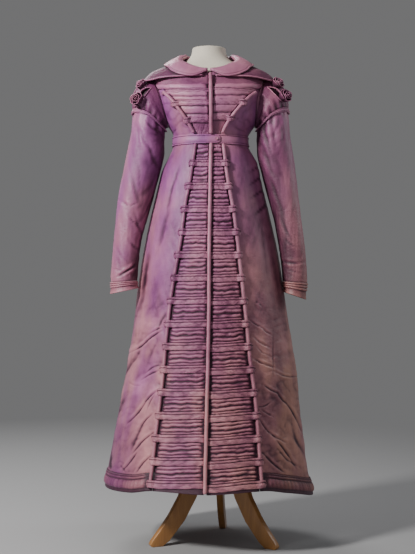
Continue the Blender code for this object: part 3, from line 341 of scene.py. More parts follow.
def unit(vectors):
    return vectors / np.maximum(np.linalg.norm(vectors, axis=-1, keepdims=True), 1e-9)


def ease(low, high, at):
    t = clip((at - low) / (high - low))
    return t * t * (3 - 2 * t)


def framed(at, start, end):  # 0 at both edges of a panel and 1 between them
    return ease(0, start, at) * ease(0, end, 1 - at)


def bodyAt(table, height):
    return [through(table[:, 0], table[:, k], height) for k in range(1, 7)]


def surfacePoint(table, height, turn):
    height, turn = np.broadcast_arrays(np.asarray(height, float), np.asarray(turn, float))
    left, right, front, back, middle, square = bodyAt(table, height)
    across, ahead = sinOf(turn), cosOf(turn)
    side = np.where(across > 0, right, left)
    depth = np.where(ahead > 0, front + middle, back - middle)
    x = np.sign(across) * side * np.abs(across) ** (2 / square)
    y = middle - np.sign(ahead) * depth * np.abs(ahead) ** (2 / square)
    return np.stack([x, y, height + 0 * x], axis=-1)


def onBody(height, turn, out=0.0, table=bodyTable):
    height, turn = np.asarray(height), np.asarray(turn)
    around = surfacePoint(table, height, turn + 0.6) - surfacePoint(table, height, turn - 0.6)
    upward = surfacePoint(table, height + 0.002, turn) - surfacePoint(table, height - 0.002, turn)
    return surfacePoint(table, height, turn) + unit(np.cross(around, upward)) * np.asarray(out)[..., None]


def turnAt(height, x):
    height, x = np.broadcast_arrays(np.asarray(height, float), np.asarray(x, float))
    shape = bodyAt(bodyTable, height)
    share = np.minimum(np.abs(x) / np.where(x > 0, shape[1], shape[0]), 1.0) ** (shape[5] / 2)
    return np.sign(x) * np.degrees(np.arcsin(share))


# Smooth seeded noise on a plane, for the unevenness of cloth

def softNoise(u, v, seed=0):
    def corner(i, j):
        mixed = np.sin(i * 127.1 + j * 311.7 + seed * 74.7) * 43758.5453
        return mixed - np.floor(mixed)
    i, j = np.floor(u), np.floor(v)
    fu, fv = u - i, v - j
    fu, fv = fu * fu * (3 - 2 * fu), fv * fv * (3 - 2 * fv)
    low = corner(i, j) * (1 - fu) + corner(i + 1, j) * fu
    high = corner(i, j + 1) * (1 - fu) + corner(i + 1, j + 1) * fu
    return (low * (1 - fv) + high * fv) * 2 - 1


def roughNoise(u, v, seed=0):
    return sum(softNoise(u * 2 ** k, v * 2 ** k, seed + 13 * k) / 2 ** k for k in range(3)) / 1.75


def crinkle(u, v, seed=0):  # soft swells between sharp valleys, as crushed silk has
    first = np.minimum(np.abs(softNoise(u, v, seed)), 0.5)
    second = np.minimum(np.abs(softNoise(u * 2.1 + 5, v * 2.1, seed + 7)), 0.4)
    return first * 2 - 0.6 + 0.4 * second


def addCreases(across, down, creases):  # each: from, to, width, depth in mm, bend
    relief = np.zeros_like(across)
    for x1, y1, x2, y2, width, depth, bend in creases:
        dx, dy = x2 - x1, y2 - y1
        length = math.hypot(dx, dy)
        along = ((across - x1) * dx + (down - y1) * dy) / length ** 2
        inside = clip(along)
        off = ((across - x1) * -dy + (down - y1) * dx) / length - bend * np.sin(np.pi * inside) * length
        fade = bell(np.abs(along - inside) * length, width * 1.5)
        fade = fade * (0.35 + 0.65 * np.sin(np.pi * clip(inside, 0.03, 0.97)))
        trough = -1.15 * bell(off, 0.8 * width)
        ridge = 0.55 * bell(off - 1.9 * width, 1.4 * width) + 0.45 * bell(off + 1.9 * width, 1.4 * width)
        relief += 0.001 * depth * fade * (trough + ridge)
    return relief


# Making cloth pieces from grids of points

def grid(rows, columns):
    return np.linspace(0, 1, rows)[:, None], np.linspace(0, 1, columns)[None, :]


def column(table, k):
    return np.array([row[k] for row in table])[:, None]


def finishPiece(thing, finish, replaced):
    thing.data.materials.append(finish)
    for face in thing.data.polygons:
        face.use_smooth = True
    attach(thing, "root")
    if replaced:
        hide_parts(*replaced)
    pieces.append(thing)
    return thing


def meshFrom(name, points, faces, paintedLight, cut, mend=False):
    mesh = bpy.data.meshes.new(name)
    mesh.from_pydata(points.reshape(-1, 3).tolist(), [], faces)
    mesh.update()
    if mend:  # faces turned outwards
        fill = bmesh.new()
        fill.from_mesh(mesh)
        bmesh.ops.recalc_face_normals(fill, faces=fill.faces)
        fill.to_mesh(mesh)
        fill.free()
    # paintedLight is painted light and shade per point: lighter on fold tops, darker in valleys and recesses
    mesh.attributes.new("paintedLight", "FLOAT", "POINT").data.foreach_set("value", paintedLight.ravel().astype(np.float32))
    uv = mesh.uv_layers.new(name="cut")
    loops = np.empty(len(mesh.loops), int)
    mesh.loops.foreach_get("vertex_index", loops)
    uv.data.foreach_set("uv", cut[loops].astype(np.float32).ravel())
    thing = bpy.data.objects.new(name, mesh)
    bpy.context.scene.collection.objects.link(thing)
    return thing


def gridFaces(rows, columns, closed=False, start=0, keep=None):
    index = np.arange(rows * columns).reshape(rows, columns) + start
    if closed:
        index = np.concatenate([index, index[:, :1]], axis=1)
    quads = np.stack([index[:-1, :-1], index[:-1, 1:], index[1:, 1:], index[1:, :-1]], axis=-1)
    if keep is not None:
        quads = quads[keep]
    return quads.reshape(-1, 4)


def cappedFaces(rows, count, start=0):  # a closed tube with a face at each end
    ends = [[start + k for k in range(count)][::-1], [start + (rows - 1) * count + k for k in range(count)]]
    return gridFaces(rows, count, closed=True, start=start).tolist() + ends


def cutMap(points):
    across = np.linalg.norm(np.diff(points, axis=1), axis=-1).mean(axis=0)
    upward = np.linalg.norm(np.diff(points, axis=0), axis=-1).mean(axis=1)
    u, v = (np.concatenate([[0], np.cumsum(steps)]) for steps in (across, upward))
    return np.stack(np.meshgrid(u, v), axis=-1).reshape(-1, 2)


def clothPiece(name, points, paintedLight, finish, replaced, wall, closed=False, flip=False, keep=None):
    rows, columns = points.shape[:2]
    faces = gridFaces(rows, columns, closed, keep=keep)
    if flip:
        faces = faces[:, ::-1]
    thing = meshFrom(name, points, faces.tolist(), np.broadcast_to(paintedLight, (rows, columns)), cutMap(points))
    shell = thing.modifiers.new("wall", "SOLIDIFY")
    shell.thickness = wall
    shell.offset = -1
    return finishPiece(thing, finish, replaced)


def roundCord(name, path, radius, replaced=(), sides=8, paintedLight=0.72, finish=None):
    count = len(path)
    ahead = unit(np.gradient(path, axis=0))
    first = unit(np.cross(ahead, np.array([0.0, 1.0, 0.03])))
    second = np.cross(ahead, first)
    angles = np.linspace(0, 2 * np.pi, sides, endpoint=False)[None, :, None]
    ring = np.cos(angles) * first[:, None, :] + np.sin(angles) * second[:, None, :]
    points = path[:, None, :] + ring * np.broadcast_to(radius, count)[:, None, None]
    along = np.concatenate([[0], np.cumsum(np.linalg.norm(np.diff(path, axis=0), axis=1))])
    cut = np.stack([np.tile(np.linspace(0, 0.03, sides), count), np.repeat(along, sides)], axis=-1)
    tops = np.repeat(np.broadcast_to(paintedLight, count), sides)
    thing = meshFrom(name, points, cappedFaces(count, sides), tops, cut, mend=True)
    return finishPiece(thing, finish or cordSilk, replaced)


def joined(name, parts):  # several cords made one piece
    bpy.ops.object.select_all(action="DESELECT")
    for part in parts:
        part.select_set(True)
        pieces.remove(part)
    whole = parts[0]
    bpy.context.view_layer.objects.active = whole
    bpy.ops.object.join()
    whole.name = name
    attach(whole, "root")
    pieces.append(whole)


skirtSilk = silk("skirtSilk", fade=0.69, crush=0.24, violet=0.90, brown=0.60)
backSilk = silk("backSilk", fade=0.55, crush=0.16, violet=0.6, brown=0.6)
ruchedSilk = silk("ruchedSilk", fade=0.50, crush=0.45, violet=0.75, brown=0.50, grain=240.0)
tabSilk = silk("tabSilk", fade=0.58, crush=0.55, violet=0.55, brown=0.45, grain=240.0)
cordSilk = silk("cordSilk", fade=0.62, crush=0.20, violet=0.45, brown=0.35)
rouleauSilk = silk("rouleauSilk", fade=0.80, crush=0.20, violet=0.25, brown=0.6)
hemSilk = silk("hemSilk", fade=0.34, crush=0.6, violet=0.5, brown=0.6)
pleatSilk = silk("pleatSilk", fade=0.64, crush=0.40, violet=0.55, brown=0.4)
bodiceSilk = silk("bodiceSilk", fade=0.66, crush=0.20, violet=1.3, brown=0.1)
# capeSilk: painted shade over the whole pelerine, through dark
capeSilk = silk("capeSilk", fade=0.00, crush=0.30, violet=0.40, brown=0.3, dark=0.72)
collarSilk = silk("collarSilk", fade=0.78, crush=0.30, violet=0.35, brown=0.45)
sleeveSilk = silk("sleeveSilk", fade=0.63, crush=0.30, violet=0.62, brown=0.7)
cuffSilk = silk("cuffSilk", fade=0.55, crush=0.3, violet=0.2, brown=0.8)
petalSilk = silk("petalSilk", fade=0.16, crush=0.45, violet=0.45, brown=0.4)
# slashSilk: near black, painted shade for the recesses inside the slashes
slashSilk = silk("slashSilk", fade=0.1, crush=0.2, violet=0.2, brown=0.2, dark=0.35)
beltSilk = silk("beltSilk", fade=0.56, crush=0.20, violet=1.3, brown=0.1)
print("materials made")

# Lines that run down the front: height and sideways place

lines = {
    "railLeft": [
        (0.205, -0.1624), (0.374, -0.1436), (0.501, -0.1283), (0.628, -0.1176), (0.764, -0.1016), (0.89, -0.08),
        (0.998, -0.0668), (1.063, -0.0545), (1.17, -0.0387),
    ],
    "railRight": [
        (0.205, 0.145), (0.301, 0.1381), (0.439, 0.1281), (0.561, 0.113), (0.691, 0.101), (0.819, 0.087),
        (0.963, 0.0707), (1.081, 0.0505), (1.17, 0.04),
    ],
    "bodiceLeft": [
        (1.19, -0.031), (1.202, -0.0379), (1.228, -0.0523), (1.253, -0.0668), (1.277, -0.0842), (1.307, -0.1076),
        (1.33, -0.13), (1.342, -0.144),
    ],
    "bodiceRight": [
        (1.19, 0.0285), (1.202, 0.0352), (1.228, 0.0465), (1.259, 0.0661), (1.291, 0.0926), (1.308, 0.1085),
        (1.33, 0.133), (1.342, 0.148),
    ],
    "centre": [
        (0.19, -0.0114), (0.363, -0.0078), (0.661, -0.0011), (0.911, 0.0009), (1.166, 0.0048), (1.201, 0.0056),
        (1.381, 0.0039),
    ],
}
hemTable = [
    (0, 0.188), (31, 0.192), (47, 0.178), (90, 0.14), (135, 0.15), (180, 0.165), (225, 0.166), (270, 0.168),
    (313, 0.179), (329, 0.192), (360, 0.188),
]
# waist and hem heights, gaps beside the centre and the rails, and the turns where panels meet
seams = {
    "skirtTop": 1.1893, "bodiceLow": 1.1904, "ruchedHem": 0.1885, "nearHem": 0.215, "byCentre": 0.0040,
    "byRail": 0.0046, "underRail": 0.0040, "sideFront": 89.97, "sideBack": 90.03, "armFront": 89.95, "armBack": 90.05,
}


def lineAt(name, height):
    return curveOf(lines[name], height)


def hemAt(turn):
    return curveOf(hemTable, np.mod(turn, 360))


def sideWord(side):
    return "left" if side < 0 else "right"


def railAt(height, side, kind="rail"):
    return lineAt(kind + sideWord(side).title(), height)


# Tabs: middle heights and how tall they are

tabs = {"count": 15, "first": 1.117, "pitch": 0.0668, "pitchLoss": 0.00015, "tallTop": 0.0195, "tallHem": 0.0220,
        "lean": {-1: 0.005, 1: -0.006}, "topEnd": 0.137,
        "bodice": {-1: [(1.2375, 1.2555), (1.2850, 1.2990), (1.3215, 1.3320)],
                   1: [(1.2445, 1.2585), (1.2870, 1.3040), (1.3265, 1.3375)]}}


def tabBands():
    index = np.arange(tabs["count"])
    middle = tabs["first"] - tabs["pitch"] * index + tabs["pitchLoss"] * index * index
    half = (tabs["tallTop"] + (tabs["tallHem"] - tabs["tallTop"]) * index / (tabs["count"] - 1)) / 2
    return list(zip(middle - half, middle + half))


def tabDrift(height, side, share):
    return tabs["lean"][side] * (1 - share) * clip((1.12 - height) / 0.9)


# Skirt fronts between the centre and the rails, ruched between the tabs

ruched = {
    "columns": 34, "rowsPerBay": 28, "rowsUnderTab": 4, "rowsBelow": 8, "top": 1.1745, "wall": 0.0012,
    "ridges": [(0.13, 0.080, 4.2), (0.37, 0.092, 4.9), (0.69, 0.090, 5.3), (0.90, 0.055, 3.9)],
    "valleys": [(0.535, 0.030, 5.6), (0.245, 0.016, 2.2), (0.805, 0.017, 2.8)],
    "area": {-1: 0.1525, 1: 0.1475},
}


def bayRelief(down, across, seed):  # down runs 0 to 1 from one tab to the next
    wander = 0.060 * softNoise(across * 2.3, seed * 3.1, 5) + 0.036 * softNoise(across * 6, seed * 1.7 + down * 3, 8)
    spot = down + wander * np.sin(np.pi * down)
    relief = 0
    for place, width, tall in ruched["ridges"]:
        change = 1 + 0.60 * softNoise(across * 3.1 + place * 17, seed * 2.3, 11)
        relief = relief + tall * change * bell(spot - place, width)
    for place, width, deep in ruched["valleys"]:
        bent = spot - 0.02 * softNoise(across * 3.5, seed + place * 31, 3)
        relief = relief - deep * bell(bent - place, width)
    slant = across * 8.5 + spot * 5 + 0.9 * softNoise(across * 4, seed + spot * 6, 12)
    twist = np.abs(np.sin(np.pi * slant)) ** 0.7 * (0.55 + 0.45 * softNoise(across * 2, seed + spot * 4, 14))
    return relief * (0.72 + 0.40 * twist) * 0.001


def bayRows(bands):  # each row's height, its share of the bay (-1 below a tab) and the bay's number
    rows, top = [], ruched["top"]
    for index, (low, high) in enumerate(bands):
        for share in np.linspace(0, 1, ruched["rowsPerBay"], endpoint=False):
            rows.append((top + (high - top) * share, share, index))
        for share in np.linspace(0, 1, ruched["rowsUnderTab"], endpoint=False):
            rows.append((high + (low - high) * share, -1, index))
        top = low
    for share in np.linspace(0, 1, ruched["rowsBelow"]):
        rows.append((top + (seams["ruchedHem"] - top) * share, -1, len(bands)))
    return np.array(rows)[::-1].T[:, :, None]


def ruchedPanel(side):
    word, bands = sideWord(side), tabBands()
    heights, down, bay = bayRows(bands)
    u = np.linspace(0, 1, ruched["columns"])[None, :]
    centre = lineAt("centre", heights) + side * seams["byCentre"]
    rail = railAt(heights, side) - side * seams["byRail"]
    x = centre + (rail - centre) * u
    sag = np.where(heights < bands[-1][0], hemAt(turnAt(seams["nearHem"], x)) - seams["ruchedHem"], 0)
    low = ease(seams["nearHem"], seams["ruchedHem"], heights)
    z = heights + tabDrift(heights, side, ease(0.1, 0.9, u)) * (1 - low) + sag * low
    relief = bayRelief(clip(down), u * np.abs(rail - centre) / 0.05 + side * 7, bay + side * 40)
    fine = 0.0006 * roughNoise(x * 70 + z * 30, z * 130, 21 + side) + 0.0003 * roughNoise(x * 220, z * 260, 4)
    fine = fine * (1 + 1.2 * (ease(0.16, 0.0, u) + 0.7 * ease(0.86, 1.0, u)))  # drawn up at the seams
    cross = 0.0007 * softNoise(x * 70 - z * 90, x * 70 + z * 150, 30)
    edges = np.minimum(ease(0, 0.12, u), ease(0, 0.11, 1 - u))
    relief = np.where(down >= 0, relief + fine + cross + 0.0010, 0.0016 + 0.3 * fine)
    relief = clip(relief, 0.0002, 0.0062) * edges
    # painted shadow under and beside each tab
    shade = np.where(down >= 0, 0.2 + 0.8 * ease(0, 0.07, down) * ease(1, 0.96, down), 0.2)
    # painted light: lighter on the ruching's ridges, darker in its valleys and at the centre and rail edges
    paintedLight = clip((relief - 0.0009) / 0.0035) * (0.25 + 0.75 * edges) * shade
    if side > 0:  # the rouleau shades the panel on its right
        paintedLight = paintedLight * (0.35 + 0.65 * ease(0.02, 0.20, u))
    piece = clothPiece("skirtRuchedPanel_" + word, onBody(z, turnAt(z, x), relief), paintedLight, ruchedSilk,
                       ["skirt_ruched_panel_" + word], ruched["wall"], flip=side < 0)


for side in (-1, 1):
    ruchedPanel(side)
print("ruched skirt panels made")

# Skirt side fronts with their diagonal creases, in the view's own units

sideCreases = {
    -1: [
        (162, 327.5, 150.5, 333, 0.8, 2.2, 0.05), (162, 330.5, 142, 346, 0.9, 2.8, 0.05),
        (152, 336.6, 129, 353.5, 0.9, 2.6, -0.04), (160.5, 370, 142, 379.5, 0.9, 2.6, 0.05),
        (129, 382, 140, 385.6, 0.8, 1.8, 0.1), (160, 365, 147, 372, 0.8, 1.8, 0.1),
        (158, 390, 146, 401, 1.0, 3.2, 0.04), (146, 401, 127.6, 423, 1.0, 3.2, -0.05),
        (156, 393, 147, 410, 0.8, 2.0, 0.06), (152.8, 433, 133, 453, 1.0, 3.0, 0.05),
        (150.5, 456, 136.7, 472, 1.0, 3.0, 0.05), (136, 453, 121.4, 471.4, 1.0, 2.8, -0.04),
        (152, 414, 140, 428, 0.9, 2.0, 0.05), (167, 312, 156, 334, 1.8, 1.8, 0.05),
        (138, 352, 120, 388, 3.0, 2.2, 0.05), (142, 300, 128, 338, 3.6, 1.2, 0.02),
        (170, 200, 158, 250, 3.0, 1.0, 0.0), (128, 392, 114, 424, 2.8, 2.0, 0.04),
        (146, 420, 131, 452, 2.0, 1.6, 0.04), (112, 440, 109, 476, 2.0, 1.8, 0.0),
        (150, 250, 142, 300, 3.0, 1.6, 0.02), (178, 170, 168, 205, 2.2, 1.6, 0.02), (121, 466, 127, 474, 0.8, 1.8, 0),
    ],
    1: [
        (250.8, 320.6, 262, 327.5, 0.8, 2.6, 0.05), (262, 327.5, 271.5, 335, 0.8, 2.2, 0.05),
        (253, 336.6, 270, 347.4, 0.9, 2.6, 0.05), (254, 358.8, 273, 367.3, 1.0, 3.4, 0.03),
        (276, 372, 296, 376.4, 0.9, 2.4, 0.1), (265, 385.6, 277.6, 393, 0.9, 2.8, 0.05),
        (277.6, 393, 286.8, 404, 1.0, 3.0, 0.05), (286.8, 404, 297.5, 422, 1.1, 3.0, -0.04),
        (297.5, 422, 302, 433, 1.0, 2.2, 0.0), (259, 407, 270, 402.5, 0.8, 2.0, 0.1),
        (260.7, 408.6, 273, 416.3, 0.8, 2.2, 0.05), (259, 418, 268.4, 431.6, 0.9, 2.6, 0.04),
        (268.4, 431.6, 285, 442, 1.0, 2.6, 0.04), (263, 453, 285, 473, 1.0, 3.4, 0.03),
        (273, 436, 296, 468, 1.1, 3.0, -0.03), (278.7, 449.6, 299.7, 467, 1.2, 2.2, 0.08),
        (256, 345, 270, 356, 0.8, 1.6, 0.1), (273, 330, 273, 376, 0.7, 1.4, 0.0), (250, 172, 264, 163, 1.6, 1.7, 0.0),
        (251, 184, 266, 174, 1.8, 1.8, 0.0), (253, 197, 268, 187, 1.8, 1.7, 0.0), (256, 214, 268, 203, 1.8, 1.6, 0.0),
        (254, 300, 262, 306, 0.9, 1.6, 0.0), (292, 425, 303, 452, 2.0, 2.0, 0.05),
        (270, 240, 279, 296, 3.0, 1.1, 0.0), (262, 230, 268, 280, 2.2, 0.9, 0.0),
        (285, 320, 292, 365, 2.6, 1.0, 0.02),
    ],
}
# painted highlights: soft pools of light on each side front, in the view's units
sideGlow = {-1: [(148, 323, 10, 7), (139, 387, 11, 8)], 1: [(263, 352, 9, 24), (285, 346, 9, 8)]}
sideFront = {"rows": 225, "columns": 86, "bandTall": 0.0508, "wall": 0.002, "area": {-1: 0.2300, 1: 0.2470}}


def skirtSideFront(side):
    word = sideWord(side)
    v, u = grid(sideFront["rows"], sideFront["columns"])
    v = np.where(v < 0.72, v * 0.50 / 0.72, 0.50 + (v - 0.72) * 0.50 / 0.28)  # closer rows where the creases are
    u = u ** 1.1
    lowTurn = turnAt(seams["nearHem"], railAt(seams["nearHem"], side) - side * seams["underRail"])
    bottom = hemAt(lowTurn + (side * 90 - lowTurn) * u) + sideFront["bandTall"]
    z = bottom + (seams["skirtTop"] - bottom) * v
    inner = turnAt(z, railAt(z, side) - side * seams["underRail"])
    turn = inner + (side * seams["sideFront"] - inner) * u
    across, down = seen(onBody(z, turn))
    low = ease(250, 350, down)
    relief = addCreases(across, down, sideCreases[side])
    relief += 0.0006 * softNoise(across * 0.055 + 3, down * 0.035, 9 + side) * ease(150, 230, down)
    relief += 0.00045 * roughNoise(across * 0.30 + down * 0.16, down * 0.22 - across * 0.1, 17 + side)
    wide = crinkle(across * 0.075 - side * down * 0.04, down * 0.045 + side * across * 0.03, 51 + side)
    fine = crinkle(across * 0.13 - side * down * 0.10, down * 0.14 + side * across * 0.05, 71 + side)
    relief += 0.0010 * wide * low + 0.0007 * fine * (0.25 + 0.75 * low)
    relief += 0.0009 * softNoise(down * 0.75, u * 2, 3) * np.exp(-u * 11)  # puckers beside the rail
    relief += 0.0007 * softNoise(down * 0.33 + 40 * u, u * 3, 12) * np.exp(-u * 4)
    relief = clip(relief * framed(u, 0.03, 0.04) * framed(v, 0.012, 0.02), -0.0042, 0.0062)
    glow = sum(bell(across - x, wide) * bell(down - y, tall) for x, y, wide, tall in sideGlow[side])
    # painted light: lighter on crease ridges and in the highlight pools, darker in creases and beside the rail
    paintedLight = clip(0.46 + relief * 210 + 0.45 * glow) * (0.25 + 0.75 * ease(0, 0.04, u))
    piece = clothPiece("skirtSideFront_" + word, onBody(z, turn, relief), paintedLight, skirtSilk, ["skirt_front_" + word],
                       sideFront["wall"], flip=side < 0)


for side in (-1, 1):
    skirtSideFront(side)

# Skirt back: gathers at the waist that open into flutes towards the hem

backPanel = {
    "rows": 130, "columns": 164, "flutes": 8, "gathers": 24, "wall": 0.002,
    # turn, height, turn, height, width, depth, bend
    "creases": [(112, 0.62, 128, 0.42, 0.030, 2.2, 0.05), (250, 0.70, 236, 0.50, 0.030, 2.0, 0.05),
                (140, 0.40, 152, 0.27, 0.022, 1.8, 0.0), (222, 0.36, 210, 0.25, 0.022, 1.8, 0.0),
                (100, 0.44, 112, 0.28, 0.024, 2.2, 0.06), (258, 0.46, 247, 0.30, 0.024, 2.0, 0.06)],
}


def skirtBack():
    v, u = grid(backPanel["rows"], backPanel["columns"])
    turn = seams["sideBack"] + (360 - 2 * seams["sideBack"]) * u + 0 * v
    bottom = hemAt(turn) + sideFront["bandTall"]
    z = bottom + (seams["skirtTop"] - bottom) * v
    middle = sinOf(turn - 90)
    flute = -0.009 * middle * cosOf((turn - 180) * backPanel["flutes"] + 10 * softNoise(z * 2.5, turn / 50, 2))
    flute *= clip((1.02 - z) / 0.6) * ease(0, 0.05, v)
    spread = turn - 180 + 1.8 * softNoise(z * 5, turn / 30, 6)
    gather = 0.0032 * cosOf(spread * backPanel["gathers"]) * clip(middle - 0.25) * clip((z - 0.62) / 0.4)
    gather = np.where(z > 1.13, np.minimum(gather, 0.0008), gather)
    creases = [(a / 200, b, c / 200, d, width, deep, bend) for a, b, c, d, width, deep, bend in backPanel["creases"]]
    relief = flute + gather + addCreases(turn / 200, z, creases) * ease(0, 0.03, v)
    relief += 0.0006 * roughNoise(turn * 0.11, z * 14, 31) + 0.0009 * crinkle(turn * 0.09, z * 9, 37)
    relief = np.maximum(relief * framed((turn - 90) / 180, 0.02, 0.02), -0.0105)
    # painted light: lighter on ridges, darker in flutes, gathers and creases
    paintedLight = clip(0.52 + relief * 32 + (relief - flute - gather) * 110, 0.05)
    piece = clothPiece("skirtBackPanel", onBody(z, turn, relief), paintedLight, backSilk,
                       ["skirt_back_left", "skirt_back_right"], backPanel["wall"])


skirtBack()
print("skirt panels made")

# Hem band: wadded, puckered, with two pipings above and a thin lip below

hemBand = {
    "columns": 420, "puckerLength": 0.017, "wall": 0.0018,
    "profile": [
        (0.0, -0.0012), (0.0008, 0.0004), (0.004, 0.0012), (0.008, 0.0008), (0.0092, 0.0006), (0.0105, 0.0036),
        (0.014, 0.0056), (0.02, 0.0064), (0.027, 0.006), (0.033, 0.0042), (0.0356, 0.0014), (0.0366, 0.0014),
        (0.0385, 0.004), (0.041, 0.0046), (0.0432, 0.0036), (0.0442, 0.0012), (0.0458, 0.003), (0.0478, 0.0034),
        (0.0494, 0.002), (0.0504, -0.0002),
    ],
}


def addHemBand():
    ends = [float(turnAt(0.205, railAt(0.205, side) - side * seams["underRail"])) for side in (1, -1)]
    turn = np.linspace(ends[0], 360 + ends[1], hemBand["columns"])[None, :]
    heights, lifts = column(hemBand["profile"], 0), column(hemBand["profile"], 1)
    length = np.radians(turn) * 0.30
    inside = ease(0.012, 0.034, np.minimum(length - length[0, 0], length[0, -1] - length))
    band = ease(0.009, 0.012, heights) * ease(0.036, 0.033, heights)
    beat = length / hemBand["puckerLength"] + 0.6 * softNoise(length * 18, 0, 3)
    puckers = 0.0021 * (np.abs(np.sin(np.pi * beat)) ** 0.6 - 0.75) * band
    puckers = puckers * (1 + 0.4 * softNoise(length * 40, heights * 200, 8))
    small = 0.0005 * roughNoise(length * 120, heights * 260, 14) * (lifts > 0.001)
    pinch = 0.0004 * softNoise(length * 90, 0, 19) * (heights > 0.036)
    relief = (lifts + puckers + small + pinch) * (inside * 0.8 + 0.2)
    relief = np.where(lifts < 0, lifts, np.maximum(relief, 0.0002) * inside + (1 - inside) * 0.0002)
    points = onBody(hemAt(turn) + heights, turn, relief)
    # painted light: lighter on the puffs and pipings, darker in the grooves between them
    piece = clothPiece("hemBandPadded", points, clip(-0.05 + relief * 100), hemSilk, ["hem_band"], hemBand["wall"])


addHemBand()
print("hem band made")

# Tabs: a padded strap with a piped welt along its top edge

tabShape = {
    "steps": 50, "wall": 0.0016, "tip": 0.955,
    "section": [
        (0.0, 0.1), (0.0, 0.55), (0.05, 0.95), (0.16, 1.25), (0.34, 1.4), (0.5, 1.35), (0.6, 1.05), (0.655, -0.5),
        (0.69, 0.1), (0.75, 1.2), (0.84, 1.4), (0.93, 1.2), (0.985, 0.6), (1.0, 0.1),
    ],
}


def tabPoints(side, low, high, stops, lifts, seed):
    t = np.linspace(0, 1, tabShape["steps"])
    keys = np.concatenate([[0], np.cumsum(np.abs(np.diff(stops)) + 0.6 * np.abs(np.diff(lifts)))])
    x, out = (np.interp(t, keys / keys[-1], values) for values in (stops, lifts))
    for turn in range(2):
        out[1:-1] = np.convolve(out, [0.25, 0.5, 0.25], "valid")
    drift = tabDrift(high, side, ease(0.05, 0.7, t)) if high < 1.16 else 0
    wobble = 0.0006 * softNoise(t * 7, seed, 3)
    roundEnd = np.sqrt(clip(1 - ((t - tabShape["tip"]) / (1 - tabShape["tip"])) ** 2))
    squeeze = np.where(t > tabShape["tip"], 0.35 + 0.65 * roundEnd, 1)
    middle = (low + high) / 2
    rows, tones = [], []
    for share, puff in tabShape["section"]:
        z = middle + (low + (high - low) * share - middle) * squeeze + drift + wobble * (1 if share < 0.5 else 0.6)
        uneven = 0.55 * softNoise(t * 24 + share * 7, share * 3 + seed, 9)
        uneven += 0.30 * softNoise(t * 55, share * 6 + seed, 4)
        rows.append(onBody(z, turnAt(z, x), out - 0.0012 + 0.0011 * puff * (1 + uneven)))
        # painted light: lighter where the strap and welt puff out, darker in the groove between them
        tones.append(clip(puff / 1.4 * (0.72 + 0.5 * softNoise(t * 20 + share * 5, share * 4 + seed, 9))))
    for hand in (1, -1):  # the strap's own back
        z = middle + hand * (high - middle) * squeeze * 0.9 + drift
        rows.append(onBody(z, turnAt(middle, x), out - tabShape["wall"]))
        # painted shade on the strap's back
        tones.append(0.15 + 0 * t)
    return np.array(rows), np.array(tones)


def tabGroup(side, bands, kind, line):
    points, faces, lifts, cuts = [], [], [], []
    for index, (low, high) in enumerate(bands):
        height = (low + high) / 2
        rail, centre = float(railAt(height, side, line)), float(lineAt("centre", height))
        full, last = centre + side * 0.0125, rail - side * 0.012
        past = 0.0095 + 0.0035 * math.sin(index * 2.3 + side)
        stops = [centre + side * 0.0050, full, (full + last) / 2, last, rail - side * 0.004, rail + side * 0.004,
                 rail + side * 0.0098, rail + side * (0.0098 + past * 0.35)]
        outs = [0.0026, 0.0044, 0.0046, 0.0044, 0.0128, 0.0128, 0.0040, 0.0030]
        if kind == "bodice" and index == 2:  # the top tab ends before its rail
            stops = [centre + side * 0.0050, full, (full + side * tabs["topEnd"]) / 2, side * tabs["topEnd"]]
            outs = [0.0030, 0.0050, 0.0050, 0.0050]
        rows, puffs = tabPoints(side, low, high, stops, outs, index * 5 + 50 * side + (kind == "bodice") * 9)
        count, steps = rows.shape[:2]
        faces += cappedFaces(steps, count, start=index * steps * count)
        points.append(np.transpose(rows, (1, 0, 2)).reshape(-1, 3))
        lifts.append(puffs.T.ravel())
        along = np.repeat(np.linspace(0, abs(stops[-1] - stops[0]), steps), count)
        cuts.append(np.stack([along, np.tile(np.linspace(0, 0.04, count), steps)], axis=-1))
    points, lifts, cuts = (np.concatenate(parts) for parts in (points, lifts, cuts))
    thing = meshFrom(kind + "Tabs_" + sideWord(side), points, faces, lifts, cuts, mend=True)
    finishPiece(thing, tabSilk, [kind + "_tabs_" + sideWord(side)])


for side in (-1, 1):
    tabGroup(side, tabBands(), "skirt", "rail")
    tabGroup(side, tabs["bodice"][side], "bodice", "bodice")
print("tabs made")

# Rails beside the ruching and the rouleau down the centre

cords = {  # from, to, steps, distance out, radius, seed
    "skirtRail": (0.213, 1.1738, 240, 0.0056, 0.0050, 11),
    "bodiceRail": (1.2095, 1.3300, 60, 0.0060, 0.0049, 31),
    "skirtRouleau": (0.1905, 1.1740, 260, 0.0083, 0.0054, 51),
    "bodiceRouleau": (1.2060, 1.3765, 60, 0.0093, 0.0054, 61),
}


def cordAlong(kind, line, replaced, side=0, finish=None):
    low, high, steps, out, radius, seed = cords[kind]
    heights = np.linspace(low, high, steps)

    def wobbled(more, size):
        return size * roughNoise(np.arange(steps) * 0.21, seed + side + more, 5)

    path = onBody(heights, turnAt(heights, lineAt(line, heights) + wobbled(0, 0.0004)), out + wobbled(3, 0.0002))
    size = radius * (1 + wobbled(7, 0.05))
    size[[0, -1]] *= 0.6
    name = kind + "_" + sideWord(side) if side else kind
    roundCord(name, path, size, [replaced], sides=12, paintedLight=clip(0.8 + wobbled(9, 0.25)), finish=finish)


for side in (-1, 1):
    word = sideWord(side)
    cordAlong("skirtRail", "rail" + word.title(), "skirt_rail_" + word, side)
    cordAlong("bodiceRail", "bodice" + word.title(), "bodice_rail_" + word, side)
cordAlong("skirtRouleau", "centre", "skirt_rouleau", finish=rouleauSilk)
cordAlong("bodiceRouleau", "centre", "bodice_rouleau", finish=rouleauSilk)
print("rails and rouleaux made")

# Bodice: pleated fronts, plain side fronts and back

